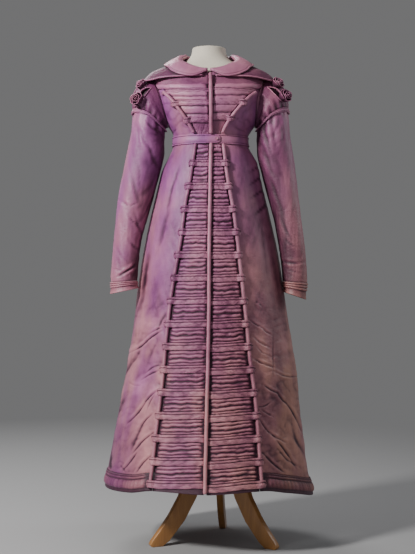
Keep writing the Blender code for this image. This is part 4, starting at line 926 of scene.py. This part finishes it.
armhole = {"height": 1.305, "tall": 0.070, "deep": 0.055, "middle": -0.030}
neckSeam = [
    (5.5, 1.3868), (17, 1.392), (27, 1.398), (39, 1.4055), (53, 1.4155), (70, 1.427), (84, 1.4347), (90, 1.438),
    (112, 1.44), (180, 1.4405),
]


def byTurn(table, turn):
    turn = np.mod(turn, 360)
    return curveOf(table, np.minimum(turn, 360 - turn))


def turnAtDepth(height, y, side):
    front, back, middle, square = bodyAt(bodyTable, height)[2:]
    ahead = clip((middle - y) / (front + middle)) ** (square / 2)
    behind = clip((y - middle) / (back - middle)) ** (square / 2)
    return side * np.where(y < middle, np.degrees(np.arccos(ahead)), 180 - np.degrees(np.arccos(behind)))


def armholeTurn(height, side, toBack):
    reach = (height - armhole["height"]) / armhole["tall"]
    depth = armhole["deep"] * np.sqrt(clip(1 - reach * reach))
    turn = turnAtDepth(height, armhole["middle"] + (depth if toBack else -depth), side)
    return np.where(depth < 0.0005, side * 90.0, turn)


bodiceFronts = {
    "rows": 200, "columns": 48, "top": 1.4335, "neck": 1.3862, "railEnd": 1.3385, "wall": 0.0016,
    "valleys": {-1: [83.8, 89.3, 96.5, 100.6, 105.9, 113.8, 121.0], 1: [83.5, 88.8, 95.2, 103.6, 112.3, 120.2]},
    "creases": {
        -1: [
            (196, 73, 201, 83, 0.8, 1.2, 0), (201, 76, 203, 84, 0.7, 1.0, 0), (206, 123, 202, 134, 0.8, 0.9, 0),
            (200, 124, 198, 134, 0.7, 0.8, 0),
        ],
        1: [(214, 74, 217, 83, 0.7, 1.0, 0), (216, 124, 218, 134, 0.8, 0.9, 0), (212, 122, 214, 133, 0.6, 0.8, 0)],
    },
}


def bodiceFront(side):
    word = sideWord(side)
    v, u = grid(bodiceFronts["rows"], bodiceFronts["columns"])
    z = seams["bodiceLow"] + (bodiceFronts["top"] - seams["bodiceLow"]) * v
    neck = side * curveOf([(height - 0.0006, turn) for turn, height in neckSeam[:7]], z)
    inner = np.where(z > bodiceFronts["neck"], neck, turnAt(z, lineAt("centre", z) + side * seams["byCentre"]))
    rail = turnAt(z, railAt(z, side, "bodice") - side * seams["byRail"])
    outer = np.where(z <= bodiceFronts["railEnd"], rail, armholeTurn(z, side, False))
    turn = inner + (side * np.minimum(np.abs(outer), seams["armFront"]) - inner) * u
    across, down = seen(onBody(z, turn))
    valleys = bodiceFronts["valleys"][side]
    swayed = down + 0.35 * softNoise(across * 0.35, down * 0.02, 2 + side)
    relief = 0.0012 + 0 * down
    for top, low in zip(valleys, valleys[1:]):
        pleat = 0.0040 * np.sin(np.pi * clip((swayed - top) / (low - top))) ** 0.70
        relief += np.where((swayed >= top) & (swayed < low), pleat, 0)
    relief *= ease(79, 83.5, down) * ease(124, 121, down)
    relief += addCreases(across, down, bodiceFronts["creases"][side])
    relief += 0.0006 * roughNoise(across * 0.5, down * 0.9, 23 + side)
    relief += 0.0008 * ease(0.24, 0.0, u) * softNoise(across * 1.3, down * 1.1, 7)
    relief += 0.0016 * ease(122, 126, down) * np.abs(softNoise(across * 0.9, down * 0.18, 15))
    relief = clip(relief, 0.0, 0.0048) * framed(u, 0.06, 0.07) * ease(0, 0.02, v)
    # painted light: lighter on the pleat ridges, above the first pleat and at the foot, darker in the valleys and
    # beside the rail
    paintedLight = clip((relief - 0.0016) / 0.0026) * 0.85 + 0.30 * (down < 84) + 0.40 * ease(119, 122, down) + 0.04
    paintedLight = clip(paintedLight) * (0.3 + 0.7 * ease(0, 0.1, 1 - u))
    piece = clothPiece("bodiceFront_" + word, onBody(z, turn, relief), paintedLight, pleatSilk, ["bodice_front_" + word],
                       bodiceFronts["wall"], flip=side < 0)


bodiceSides = {
    "rows": 60, "columns": 36, "top": 1.3381, "wall": 0.002,
    "creases": {-1: [(183, 112, 176, 118, 1.2, 0.9, 0.1), (186, 119, 176, 127, 1.2, 0.9, 0.1),
                     (178, 128, 172, 133, 1.0, 0.8, 0)],
                1: [(236, 116, 243, 123, 1.2, 0.8, 0.1), (232, 124, 243, 131, 1.2, 0.9, 0.1)]},
}


def bodiceSide(side):
    word = sideWord(side)
    v, u = grid(bodiceSides["rows"], bodiceSides["columns"])
    z = seams["bodiceLow"] + (bodiceSides["top"] - seams["bodiceLow"]) * v
    inner = turnAt(z, railAt(z, side, "bodice") - side * seams["underRail"])
    outer = side * np.minimum(np.abs(armholeTurn(z, side, False)), seams["armFront"])
    turn = inner + (outer - inner) * u
    across, down = seen(onBody(z, turn))
    relief = addCreases(across, down, bodiceSides["creases"][side])
    relief = (relief + 0.0013 * crinkle(across * 0.15, down * 0.13, 41 + side)) * framed(u, 0.12, 0.1)
    relief = relief * framed(v, 0.05, 0.05)
    points = onBody(z, turn, clip(relief, -0.001, 0.003))
    # painted light: lighter on crease ridges, darker in the creases
    piece = clothPiece("bodiceSide_" + word, points, clip(0.5 + relief * 200, 0.1), bodiceSilk,
                       ["bodice_side_" + word], bodiceSides["wall"], flip=side < 0)


bodiceBackShape = {"rows": 100, "columns": 90, "yoke": 1.375, "yokeRow": 0.78, "seams": (0.26, 0.5, 0.74),
                   "wall": 0.002}


def bodiceBack():
    v, u = grid(bodiceBackShape["rows"], bodiceBackShape["columns"])
    low, yoke, share = seams["bodiceLow"], bodiceBackShape["yoke"], bodiceBackShape["yokeRow"]
    seam = byTurn(neckSeam, 90 + 180 * u) - 0.0004
    z = np.where(v < share, low + (yoke - low) * v / share, yoke + (seam - yoke) * (v - share) / (1 - share))
    start, end = (np.maximum(hand * armholeTurn(z, hand, True), seams["armBack"]) for hand in (1, -1))
    turn = start + (360 - end - start) * u
    relief = 0.0006 * roughNoise(turn * 0.08, z * 22, 44) + 0.0009 * crinkle(turn * 0.07, z * 20, 47)
    for place in bodiceBackShape["seams"]:  # centre seam and two shaped side seams
        away = np.abs(u - (0.5 + (place - 0.5) * (0.55 + 0.9 * v))) * 0.24
        relief += 0.0005 * bell(away - 0.004, 0.003) - 0.0012 * bell(away, 0.0016)
    relief *= framed(u, 0.04, 0.04) * framed(v, 0.04, 0.04)
    # painted light: darker in the seams and creases, lighter beside them
    piece = clothPiece("bodiceBackPanel", onBody(z, turn, relief), clip(0.55 + relief * 260, 0.1), backSilk,
                       ["bodice_back"], bodiceBackShape["wall"])


for side in (-1, 1):
    bodiceFront(side)
    bodiceSide(side)
bodiceBack()
print("bodice made")

# Pelerine and collar, each with a piped edge

cape = {"columns": 250, "rows": 26, "ends": 3.5, "wall": 0.0018, "piping": 0.0024,
        "edge": [
            (4, 1.376), (30, 1.3735), (52, 1.37), (66, 1.367), (80, 1.372), (90, 1.378), (102, 1.37), (120, 1.345),
            (150, 1.326), (180, 1.322),
        ]}
collar = {"columns": 250, "rows": 38, "ends": 0.7, "wall": 0.0018, "piping": 0.0020, "cord": 0.0011,
          "stand": 0.22, "fall": 0.30, "edge": [
              (0, 1.3895), (2.5, 1.384), (6, 1.3765), (10.5, 1.371), (19, 1.3745), (30, 1.386), (41, 1.399),
              (60, 1.409), (78, 1.415), (90, 1.418), (110, 1.411), (150, 1.394), (180, 1.39),
          ]}


def addPelerine():
    v, u = grid(cape["rows"], cape["columns"])
    turn = cape["ends"] + (360 - 2 * cape["ends"]) * u
    low = byTurn(cape["edge"], turn)
    z = low + (byTurn(neckSeam, turn) - 0.004 - low) * v
    wave = 0.0013 * softNoise(turn / 17, v * 2, 3) * (1 - v) + 0.0005 * roughNoise(turn / 6, v * 5, 9)
    droop = 0.0006 * sinOf(turn * 3) * (1 - v) + 0.0008 * crinkle(turn / 11, v * 2.5, 61)
    relief = (wave + droop) * ease(0, 0.3, 1 - v)
    shadow = 0.15 + 0.85 * ease(0.001, 0.009, byTurn(collar["edge"], turn) - z)
    # painted light on the pelerine's waves, times the painted shadow below the collar's edge
    piece = clothPiece("pelerineCape", onBody(z, turn, relief, capeTable), clip(0.6 + 220 * relief, 0.15) * shadow,
                       capeSilk, ["pelerine"], cape["wall"])
    roundCord("pelerinePiping", onBody(low[0], turn[0], relief[0] - 0.0006, capeTable), cape["piping"])


def addCollar():
    v, u = grid(collar["rows"], collar["columns"])
    turn = collar["ends"] + (360 - 2 * collar["ends"]) * u
    seam = byTurn(neckSeam, turn)
    swell = np.minimum(1.0, 0.35 + np.minimum(turn - turn[0, 0], turn[0, -1] - turn) / 22 * 0.65)
    fold = seam + 0.0075 + 0.0070 * swell
    stand = clip(v / collar["stand"])
    fall = clip((v - collar["fall"]) / (1 - collar["fall"]))
    bend = clip((v - collar["stand"]) / (collar["fall"] - collar["stand"]))[..., None]
    up = onBody(seam + 0.0008 + (fold - 0.0038 - seam) * stand, turn, 0.0004 + 0.0004 * stand)
    crest = onBody(fold, turn, 0.0055 * swell + 0.001)
    start = fold - 0.0035
    low = np.minimum(byTurn(collar["edge"], turn), start - 0.004)
    wave = (0.0010 * softNoise(turn / 14, v * 1.5, 13) + 0.0008 * crinkle(turn / 9, v * 2.5, 33)) * fall
    wave = wave + 0.0004 * roughNoise(turn / 5, v * 6, 3)
    out = (0.0080 * swell + 0.001) * (1 - fall) + 0.0038 * fall + 0.0026 * np.sin(np.pi * fall)
    out = out + np.maximum(wave, -0.0006)
    down = onBody(start + (low - start) * fall, turn, out, capeTable)
    over = 0.75 * np.sin(np.pi * bend)
    top = (up * (1 - bend) + down * bend) * (1 - over) + crest * over
    points = np.where((v <= collar["stand"])[..., None], up, np.where((v >= collar["fall"])[..., None], down, top))
    # painted light on the waves, with a painted shade line inside the piping
    paintedLight = clip(0.72 + 160 * wave, 0.2) * (1 - 0.75 * bell(v - 0.90, 0.022))
    piece = clothPiece("collarFold", points, paintedLight, collarSilk, ["collar"], collar["wall"])
    roundCord("collarPiping", onBody(low[0], turn[0], out[-1] + 0.0010, capeTable), collar["piping"])
    inner = onBody(low[0] + 0.0055, turn[0], out[-1] + 0.0012, capeTable)
    roundCord("collarCord", inner[6:-6], collar["cord"], sides=6)


addPelerine()
addCollar()
print("collar and pelerine made")

# Sleeves: rings by their inner and outer edges as seen from the front, with depth and place

sleeveRings = {
    -1: [
        (0.1195, 1.235, 0.1625, 1.375, 0.055, -0.03), (0.1262, 1.2335, 0.186, 1.361, 0.0565, -0.031),
        (0.13, 1.23, 0.2035, 1.336, 0.058, -0.032), (0.1315, 1.224, 0.217, 1.3, 0.059, -0.033),
        (0.132, 1.214, 0.2275, 1.259, 0.06, -0.034), (0.1325, 1.191, 0.2315, 1.216, 0.06, -0.035),
        (0.1345, 1.147, 0.2425, 1.163, 0.059, -0.036), (0.154, 1.063, 0.259, 1.077, 0.055, -0.04),
        (0.1745, 0.99, 0.272, 1.0, 0.0505, -0.043), (0.1975, 0.909, 0.2805, 0.917, 0.046, -0.047),
        (0.2075, 0.83, 0.2868, 0.834, 0.0415, -0.051), (0.2125, 0.78, 0.29, 0.776, 0.04, -0.054),
    ],
    1: [
        (0.1335, 1.235, 0.1625, 1.375, 0.055, -0.03), (0.14, 1.2335, 0.188, 1.362, 0.0565, -0.031),
        (0.1428, 1.23, 0.209, 1.337, 0.058, -0.032), (0.1438, 1.224, 0.2255, 1.303, 0.059, -0.033),
        (0.1435, 1.214, 0.2365, 1.261, 0.06, -0.034), (0.1425, 1.191, 0.2405, 1.216, 0.06, -0.035),
        (0.145, 1.147, 0.248, 1.163, 0.058, -0.036), (0.159, 1.085, 0.2575, 1.097, 0.055, -0.039),
        (0.181, 1.004, 0.2665, 1.014, 0.05, -0.043), (0.199, 0.926, 0.276, 0.934, 0.045, -0.047),
        (0.212, 0.842, 0.287, 0.847, 0.041, -0.051), (0.2175, 0.778, 0.2905, 0.773, 0.039, -0.054),
    ],
}
wrists = {
    -1: (0.211, 0.7565, 0.289, 0.7405, 0.04, -0.056), 1: (0.2225, 0.745, 0.283, 0.724, 0.036, -0.056),
}


def ringPoint(ring, side, angle):
    inX, inZ, outX, outZ, deep, y = ring
    x = (inX + outX) / 2 + (outX - inX) / 2 * cosOf(angle)
    z = (inZ + outZ) / 2 + (outZ - inZ) / 2 * cosOf(angle)
    return np.stack([side * x, y - deep * sinOf(angle), z], axis=-1)


def sleeveSpot(side, place, angle):  # place 0 is the armhole and 1 the first ring
    table = np.array(sleeveRings[side])
    place, angle = np.broadcast_arrays(np.asarray(place, float), np.asarray(angle, float))
    spot = ringPoint([through(np.arange(len(table)), table[:, k], place) for k in range(6)], side, angle)
    height = armhole["height"] + armhole["tall"] * 0.99 * cosOf(angle)
    turn = turnAtDepth(height, armhole["middle"] - armhole["deep"] * 0.99 * sinOf(angle), side)
    share = clip(place)[..., None]
    return onBody(height, turn, 0.0006) * (1 - share) + spot * share


def sleevePoint(side, place, angle, out=0.0):
    place, angle, out = np.broadcast_arrays(np.asarray(place, float), np.asarray(angle, float), np.asarray(out, float))
    here = sleeveSpot(side, place, angle)
    along = sleeveSpot(side, place + 0.08, angle) - sleeveSpot(side, place - 0.08, angle)
    normal = unit(np.cross(along, sleeveSpot(side, place, angle + 2) - sleeveSpot(side, place, angle - 2)))
    middle = (here + sleeveSpot(side, place, angle + 180)) / 2
    inward = np.sum(normal * (here - middle), axis=-1, keepdims=True) < 0
    return here + np.where(inward, -normal, normal) * out[..., None]


sleeveShape = {
    "topRows": 60, "lowRows": 105, "columns": 84, "wall": 0.002,
    "creases": {
        -1: [
            (134.4, 266, 117.2, 277, 1.2, 2.4, 0.0), (135, 214, 143, 236, 1.5, 1.6, 0.05),
            (140, 128, 150, 150, 1.8, 1.8, 0.05), (146, 120, 160, 132, 1.4, 1.8, 0.1),
            (137, 120, 139, 146, 1.8, 1.6, 0.0), (148, 140, 158, 168, 2.0, 1.8, 0.05),
            (128, 238, 139, 250, 1.4, 1.4, 0.1), (116, 246, 128, 262, 1.3, 1.2, 0.1),
            (121, 196, 131, 216, 2.0, 1.3, 0.0), (119, 199, 130, 206, 1.0, 2.2, 0.05),
            (130, 206, 136, 203, 0.9, 1.8, 0.0), (120, 275, 136, 264, 1.2, 2.6, 0.05),
            (127, 214, 136, 224, 1.1, 2.0, 0.05), (131, 176, 140, 205, 2.2, 1.5, 0.0),
            (112, 268, 124, 272, 1.0, 1.0, 0.0),
        ],
        1: [
            (281, 261.5, 304, 262.0, 1.2, 2.8, 0.05), (283, 222, 291, 238, 1.5, 1.3, 0.05),
            (263, 126, 270, 152, 1.8, 1.7, 0.0), (272, 122, 276, 150, 1.8, 1.5, 0.0),
            (282, 124, 284, 146, 1.6, 1.4, 0.0), (264, 148, 273, 176, 1.9, 1.7, 0.0),
            (272, 182, 282, 212, 2.0, 1.4, 0.0), (286, 240, 299, 247, 1.2, 1.2, 0.1),
            (289, 270, 304, 274, 1.0, 1.2, 0.0),
        ],
    },
}


def addSleeve(side):
    word, last = sideWord(side), len(sleeveRings[side]) - 1
    place = np.concatenate([np.linspace(0, 5, sleeveShape["topRows"], endpoint=False),
                            np.linspace(5, last, sleeveShape["lowRows"])])[:, None]
    angle = np.linspace(0, 360, sleeveShape["columns"], endpoint=False)[None, :]
    across, down = seen(sleevePoint(side, place, angle))
    cos, sin = cosOf(angle), sinOf(angle)
    front = ease(-0.3, 0.4, sin)
    creases = sleeveShape["creases"][side]
    relief = addCreases(across, down, creases) * front
    relief += addCreases(across + 3 * side, down + 9, creases) * (1 - front)
    relief += 0.0007 * softNoise(angle / 46, place * 0.9, 5 + side) + 0.0005 * roughNoise(cos * 3 + place, sin * 3, 15)
    relief += 0.0012 * crinkle(cos * 1.7 + place * 0.7, sin * 1.7 - place * 0.8, 19 + side)
    relief += 0.0008 * crinkle(cos * 4 + place * 1.1, sin * 4 - place * 1.9, 29 + side)
    pleats = cosOf(angle * 13 + 50 * softNoise(place, angle / 50, 4))
    relief += 0.0011 * pleats * ease(2.6, 3.0, place) * ease(5.2, 3.4, place)
    relief = clip(relief * ease(0.1, 0.8, place) * ease(last, last - 0.3, place), -0.003, 0.0045)
    # painted light: the sleeve's outer side lighter and the side by the body darker, creases darker
    piece = clothPiece("sleeveTube_" + word, sleevePoint(side, place, angle, relief),
                       clip(0.42 + relief * 130 + 0.34 * cos, 0.04), sleeveSilk, ["sleeve_" + word],
                       sleeveShape["wall"], closed=True, flip=side < 0)


# share of the cuff's depth, distance out, painted light (lighter on the cords, darker in the grooves)
cuffShape = {"columns": 120, "wall": 0.0022, "profile": [
    (0.0, 0.0, 0.3), (0.03, 0.0016, 0.7), (0.08, 0.003, 1.0), (0.14, 0.0018, 0.6), (0.165, 0.0002, 0.1),
    (0.2, 0.0018, 0.7), (0.26, 0.0034, 1.0), (0.32, 0.0018, 0.6), (0.345, 0.0002, 0.1), (0.38, 0.002, 0.7),
    (0.44, 0.0034, 1.0), (0.5, 0.0018, 0.6), (0.53, 0.0003, 0.15), (0.6, 0.0008, 0.4), (0.75, 0.0018, 0.6),
    (0.9, 0.003, 0.8), (0.97, 0.004, 1.0), (1.0, 0.003, 0.8),
]}


def addCuff(side):
    word, profile = sideWord(side), cuffShape["profile"]
    angle = np.linspace(0, 360, cuffShape["columns"], endpoint=False)[None, :]
    share, out = column(profile, 0), column(profile, 1)
    top = np.array(sleeveRings[side][-1]) - np.array([0, 0.0005, 0, 0.0005, 0, 0])
    ring = [start + (end - start) * share for start, end in zip(top, wrists[side])]
    spot = ringPoint(ring, side, angle)
    outward = unit(spot - (ringPoint(ring, side, 0 * angle) + ringPoint(ring, side, 0 * angle + 180)) / 2)
    ripple = 0.0006 * softNoise(angle / 12 + 3, share * 6, 4 + side) * (share > 0.55)
    ripple = ripple + 0.0003 * softNoise(angle / 5, share * 9, 8)
    points = (spot + outward * (out + ripple)[..., None])[::-1]
    piece = clothPiece("cuffCorded_" + word, points, column(profile, 2)[::-1], cuffSilk, ["cuff_" + word],
                       cuffShape["wall"], closed=True, flip=side > 0)
    "sleeveTube_" + word


for side in (-1, 1):
    addSleeve(side)
    addCuff(side)
print("sleeves and cuffs made")

# Short oversleeves: petals that a piped band gathers, with slashes between them

petals = {
    "rows": 46, "columns": 116, "reach": 128, "wall": 0.0018, "liningWall": 0.0008, "piping": 0.0017,
    "slashes": [(-51.5, 8.0), (0.0, 9.0), (51.5, 8.0)], "slashTop": 0.16, "slashLong": 0.66,
    "edge": [(0, 3.45), (60, 3.05), (95, 2.75), (140, 2.85), (180, 3.05)],
}


def petalEdge(angle):
    return curveOf(petals["edge"], np.abs((angle + 180) % 360 - 180))


def petalPlace(angle, share):  # from the top of the petals, 0, to the band, 1
    top = 0.30 + 0.35 * (np.abs(angle) / petals["reach"]) ** 2
    return top + (petalEdge(angle) - 0.05 - top) * share


def petalRim(angle):  # flatter at the ends
    return 1 - 0.55 * (np.abs(angle) / petals["reach"]) ** 3


def slashPiping(side):
    t, parts = np.linspace(0, 1, 40), []
    share = petals["slashTop"] + petals["slashLong"] * t
    for index, (middle, wide) in enumerate(petals["slashes"]):
        for hand in (-1, 1):
            at = middle + hand * (wide * np.sin(np.pi * t) ** 0.8 + 0.4)
            out = 0.0046 + 0.0120 * np.sin(np.pi * share ** 1.3) * petalRim(at) + 0.0008
            path = sleevePoint(side, petalPlace(at, share), at, out)
            parts.append(roundCord("slashPiping_%d_%d_%d" % (side, index, hand), path, petals["piping"]))
    joined("slashPiping_" + sideWord(side), parts)


def addMancheron(side):
    word, edge = sideWord(side), petals["reach"]
    v, u = grid(petals["rows"], petals["columns"])
    angle = edge * (2 * u - 1)
    place = petalPlace(angle, v)
    puff = np.sin(np.pi * v ** 1.3)
    closeness = sum(bell(angle - middle, wide * 1.25) for middle, wide in petals["slashes"])
    folds = 0.0016 * cosOf(angle * 18 + 30 * softNoise(v * 3, angle / 60, 2)) * ease(0.35, 0.95, v)
    out = 0.0046 + (0.0085 + 0.0035 * closeness) * puff * petalRim(angle) + folds
    out = out + 0.0007 * roughNoise(angle / 9, v * 7, 6 + side)
    row, across = (v[:-1] + v[1:]) / 2, (angle[:, :-1] + angle[:, 1:]) / 2
    keep = np.ones((petals["rows"] - 1, petals["columns"] - 1), bool)
    for middle, wide in petals["slashes"]:
        lens = wide * np.sin(np.pi * clip((row - petals["slashTop"]) / petals["slashLong"])) ** 0.8
        keep &= ~(np.abs(across - middle) < lens)
    # painted light: lighter where the petals puff and on fold ridges
    piece = clothPiece("mancheronPetals_" + word, sleevePoint(side, place, angle, out),
                       clip(0.35 + 0.4 * puff + 260 * folds), petalSilk, ["mancheron_" + word], petals["wall"],
                       flip=side < 0, keep=keep)
    "sleeveTube_" + word
    slashPiping(side)
    # the sheet under the slashes, painted near black as the shade inside them
    lining = sleevePoint(side, place[::3, ::3], angle[:, ::3], 0.0022 + 0.004 * puff[::3])
    piece = clothPiece("slashLining_" + word, lining, 0.02, slashSilk, [], petals["liningWall"], flip=side < 0)
    "sleeveTube_" + word


# place past the petals' edge, distance out, painted light (lighter on the pipings, darker between them)
sleeveBand = {"columns": 140, "wall": 0.0012, "profile": [
    (0.0, 0.001, 0.1), (0.0, 0.0052, 0.5), (0.02, 0.0068, 1.0), (0.07, 0.007, 0.9), (0.09, 0.0052, 0.2),
    (0.12, 0.0068, 0.8), (0.18, 0.0074, 1.0), (0.23, 0.0068, 0.8), (0.25, 0.005, 0.2), (0.28, 0.0066, 1.0),
    (0.32, 0.0058, 0.8), (0.33, 0.001, 0.1),
]}


def addSleeveBand(side):
    word, profile = sideWord(side), sleeveBand["profile"]
    angle = np.linspace(0, 360, sleeveBand["columns"], endpoint=False)[None, :]
    reach = column(profile, 0)
    out = column(profile, 1) + 0.0004 * softNoise(angle / 7, reach * 30, 3)
    points = sleevePoint(side, petalEdge(angle) + reach - 0.02, angle, out)
    piece = clothPiece("mancheronBandPiped_" + word, points, column(profile, 2), tabSilk, ["mancheron_band_" + word],
                       sleeveBand["wall"], closed=True, flip=side < 0)
    "mancheronPetals_" + word


rosette = {
    "steps": 150, "rows": 9, "turns": 1150, "wall": 0.0011, "edge": 0.0009, "flat": (0.14, 0.0165),
    # label, place down the sleeve, angle, distance out, size
    -1: [("upper", 1.30, 30, 0.0120, 1.12), ("lower", 2.45, 52, 0.0156, 1.42)],
    1: [("upper", 1.30, 30, 0.0120, 1.36), ("lower", 2.45, 42, 0.0152, 1.46)],
}


def addRosette(side, label, place, at, out, size):
    name = label + "_" + sideWord(side)
    base = sleevePoint(side, place, at, out)
    axis = unit(sleevePoint(side, place, at, out + 0.01) - base)
    first = unit(np.cross(axis, [0, 1, 0]))
    t = np.linspace(0, 1, rosette["steps"])
    share = np.linspace(0, 1, rosette["rows"])[:, None]
    turn = np.radians(rosette["turns"] * t + 40 * side)
    radius = (0.0010 + 0.0112 * t ** 0.85) * (1 + 0.10 * np.sin(turn * 2.6))
    reach = size * (radius * (1 + 0.30 * share ** 2) + 0.0014 * np.sin(share * np.pi))
    tall = size * share * (0.0150 - 0.0045 * t + 0.0012 * np.sin(turn * 4.1))
    spoke = np.cos(turn)[:, None] * first + np.sin(turn)[:, None] * np.cross(axis, first)
    points = base + spoke * reach[..., None] + axis * tall[..., None]
    # painted shade deep in the coil, lighter towards its rim
    tone = (0.03 + 0.60 * share ** 2.2) * (0.7 + 0.3 * np.sin(turn * 2.6))
    piece = clothPiece("rosetteCoil_" + name, points, tone, petalSilk, ["rosette_" + name], rosette["wall"])
    flat = tuple(round(length * size, 3) for length in rosette["flat"])
    "mancheronPetals_" + sideWord(side)
    roundCord("rosetteEdge_" + name, points[-1], rosette["edge"], sides=6)


for side in (-1, 1):
    addMancheron(side)
    addSleeveBand(side)
    for row in rosette[side]:
        addRosette(side, *row)
print("oversleeves made")

# Belt with piped edges, its lapped end and the button

belt = {
    "low": 1.1757, "high": 1.2043, "out": 0.0034, "columns": 260, "wall": 0.0016,
    # share of the belt's depth, distance out, painted light (darker in the grooves beside the pipings)
    "profile": [
        (0.0, -0.0018, 0.2), (0.0, -0.0004, 0.6), (0.035, 0.001, 1.0), (0.09, 0.0012, 1.0), (0.135, -0.001, 0.0),
        (0.2, 0.0004, 0.7), (0.5, 0.0007, 0.8), (0.8, 0.0004, 0.7), (0.865, -0.001, 0.0), (0.91, 0.0012, 1.0),
        (0.965, 0.001, 1.0), (1.0, -0.0004, 0.6), (1.0, -0.0018, 0.2),
    ],
}
lap = {"columns": 60, "middle": 1.190, "start": -0.010, "long": 0.0415, "half": 0.01403, "roundFrom": 0.0205,
       "roundOver": 0.0112, "out": 0.0071, "wall": 0.0014}
buttonShape = {"x": 0.0205, "out": 0.0084, "radius": 0.0050, "tall": 0.0026, "rim": (0.0008, 0.0006),
               "dish": (0.0011, -0.0009), "bevel": 0.0003}


def addBelt():
    share, puff, tone = (column(belt["profile"], k) for k in range(3))
    turn = np.linspace(0, 360, belt["columns"], endpoint=False)[None, :]
    z = belt["low"] + (belt["high"] - belt["low"]) * share + 0.0005 * softNoise(turn / 40, share, 3)
    points = onBody(z, turn, belt["out"] + puff + 0.0002 * softNoise(turn / 9, share * 3, 6))
    piece = clothPiece("beltBand", points, tone, beltSilk, ["belt"], belt["wall"], closed=True)
    t = np.linspace(0, 1, lap["columns"])[None, :]
    x = lap["start"] + lap["long"] * t
    half = lap["half"] * np.sqrt(clip(1 - (clip(x - lap["roundFrom"]) / lap["roundOver"]) ** 2, 0.0009))
    z = lap["middle"] + half * (share * 2 - 1)
    points = onBody(z, turnAt(z, x), lap["out"] + puff * (1 - 0.4 * ease(0.85, 1.0, t)))
    piece = clothPiece("beltLapEnd", points, tone, beltSilk, ["belt_lap"], lap["wall"])


def selectOnly(thing):
    bpy.ops.object.select_all(action="DESELECT")
    thing.select_set(True)
    bpy.context.view_layer.objects.active = thing


def bevelled(thing, width, segments, angle=None):
    bevel = thing.modifiers.new("edge", "BEVEL")
    bevel.width = width
    bevel.segments = segments
    if angle:
        bevel.limit_method = "ANGLE"
        bevel.angle_limit = angle
    bpy.ops.object.modifier_apply(modifier="edge")


def addButton():
    turn = float(turnAt(lap["middle"], buttonShape["x"]))
    base = onBody(lap["middle"], turn, buttonShape["out"])
    axis = Vector(onBody(lap["middle"], turn, 0.02) - base).normalized()
    bpy.ops.mesh.primitive_cylinder_add(vertices=40, radius=buttonShape["radius"], depth=buttonShape["tall"],
                                        location=Vector(base) + axis * buttonShape["tall"] / 2)
    button = bpy.context.active_object
    button.name = "beltButton"
    button.rotation_euler = Vector((0, 0, 1)).rotation_difference(axis).to_euler()
    selectOnly(button)
    bpy.ops.object.mode_set(mode="EDIT")
    bpy.ops.mesh.select_mode(type="FACE")
    bpy.ops.mesh.select_all(action="DESELECT")
    bpy.ops.object.mode_set(mode="OBJECT")
    for face in button.data.polygons:
        face.select = face.normal.z > 0.9
    bpy.ops.object.mode_set(mode="EDIT")
    for thickness, depth in (buttonShape["rim"], buttonShape["dish"]):
        bpy.ops.mesh.inset(thickness=thickness, depth=depth)
    bpy.ops.object.mode_set(mode="OBJECT")
    bevelled(button, buttonShape["bevel"], 2)
    bpy.ops.object.transform_apply(location=True, rotation=True, scale=True)
    values = button.data.attributes.new("paintedLight", "FLOAT", "POINT")
    values.data.foreach_set("value", np.full(len(button.data.vertices), 0.8, np.float32))
    button.data.uv_layers[0].name = "cut"
    finishPiece(button, cordSilk, ["belt_button"])
    bpy.ops.object.shade_smooth_by_angle(angle=0.7)


addBelt()
addButton()
print("belt made")

# Dress form and stand

formShape = {
    "columns": 72,
    "lower": [(0.915, 0.55), (0.9165, 0.72), (0.921, 0.86), (0.932, 0.97), (0.96, 1.05), (1.03, 1.07), (1.1, 1.03)],
    "insets": [
        (1.16, 0.01), (1.182, 0.008), (1.205, 0.0066), (1.238, 0.0062), (1.278, 0.0064), (1.32, 0.007),
        (1.352, 0.008), (1.38, 0.008), (1.4, 0.008), (1.42, 0.008), (1.44, 0.008), (1.475, 0.008),
    ],
    "top": [(0.97, 0.0016), (0.9, 0.0024), (0.6, 0.0026), (0.2, 0.0027)],
}
standShape = {"near": 0.00005, "flat": 0.02, "bevel": 0.0022, "corner": 0.6}


def addForm():
    turn = np.linspace(0, 360, formShape["columns"], endpoint=False)
    waist = onBody(1.125, turn, -0.0125)
    rings = [waist * np.array([swell, swell, 0]) + np.array([0, 0, height]) for height, swell in formShape["lower"]]
    for height in np.concatenate([np.linspace(1.160, 1.464, 40), [1.4690, 1.4722]]):
        rings.append(onBody(height, turn, -curveOf(formShape["insets"], height) - 0.0004))
    last = rings[-1]
    middle = last.mean(axis=0)
    for shrink, rise in formShape["top"]:
        rings.append(middle + (last - middle) * shrink + np.array([0, 0, rise]))
    points = np.array(rings).reshape(-1, 3)
    thing = meshFrom("formCover", points, cappedFaces(len(rings), len(turn)), points[:, 2], points[:, :2])
    finishPiece(thing, linen("formLinen"), ["form_torso"])


def addStand():
    for name in ("stand_post", "stand_leg_1", "stand_leg_2", "stand_leg_3"):
        copy = bpy.data.objects[name].copy()
        copy.data = copy.data.copy()
        copy.name = "wooden" + name.title().replace("_", "")
        bpy.context.scene.collection.objects.link(copy)
        copy.data.materials.clear()
        selectOnly(copy)
        bpy.ops.object.mode_set(mode="EDIT")
        bpy.ops.mesh.select_all(action="SELECT")
        bpy.ops.mesh.remove_doubles(threshold=standShape["near"])
        bpy.ops.mesh.dissolve_limited(angle_limit=standShape["flat"])
        bpy.ops.object.mode_set(mode="OBJECT")
        bevelled(copy, standShape["bevel"], 3, standShape["corner"])
        finishPiece(copy, wood("oiledWood_" + name), [name])
        bpy.ops.object.shade_smooth_by_angle(angle=standShape["corner"])


addForm()
addStand()
print("form and stand made:", len(pieces), "pieces")

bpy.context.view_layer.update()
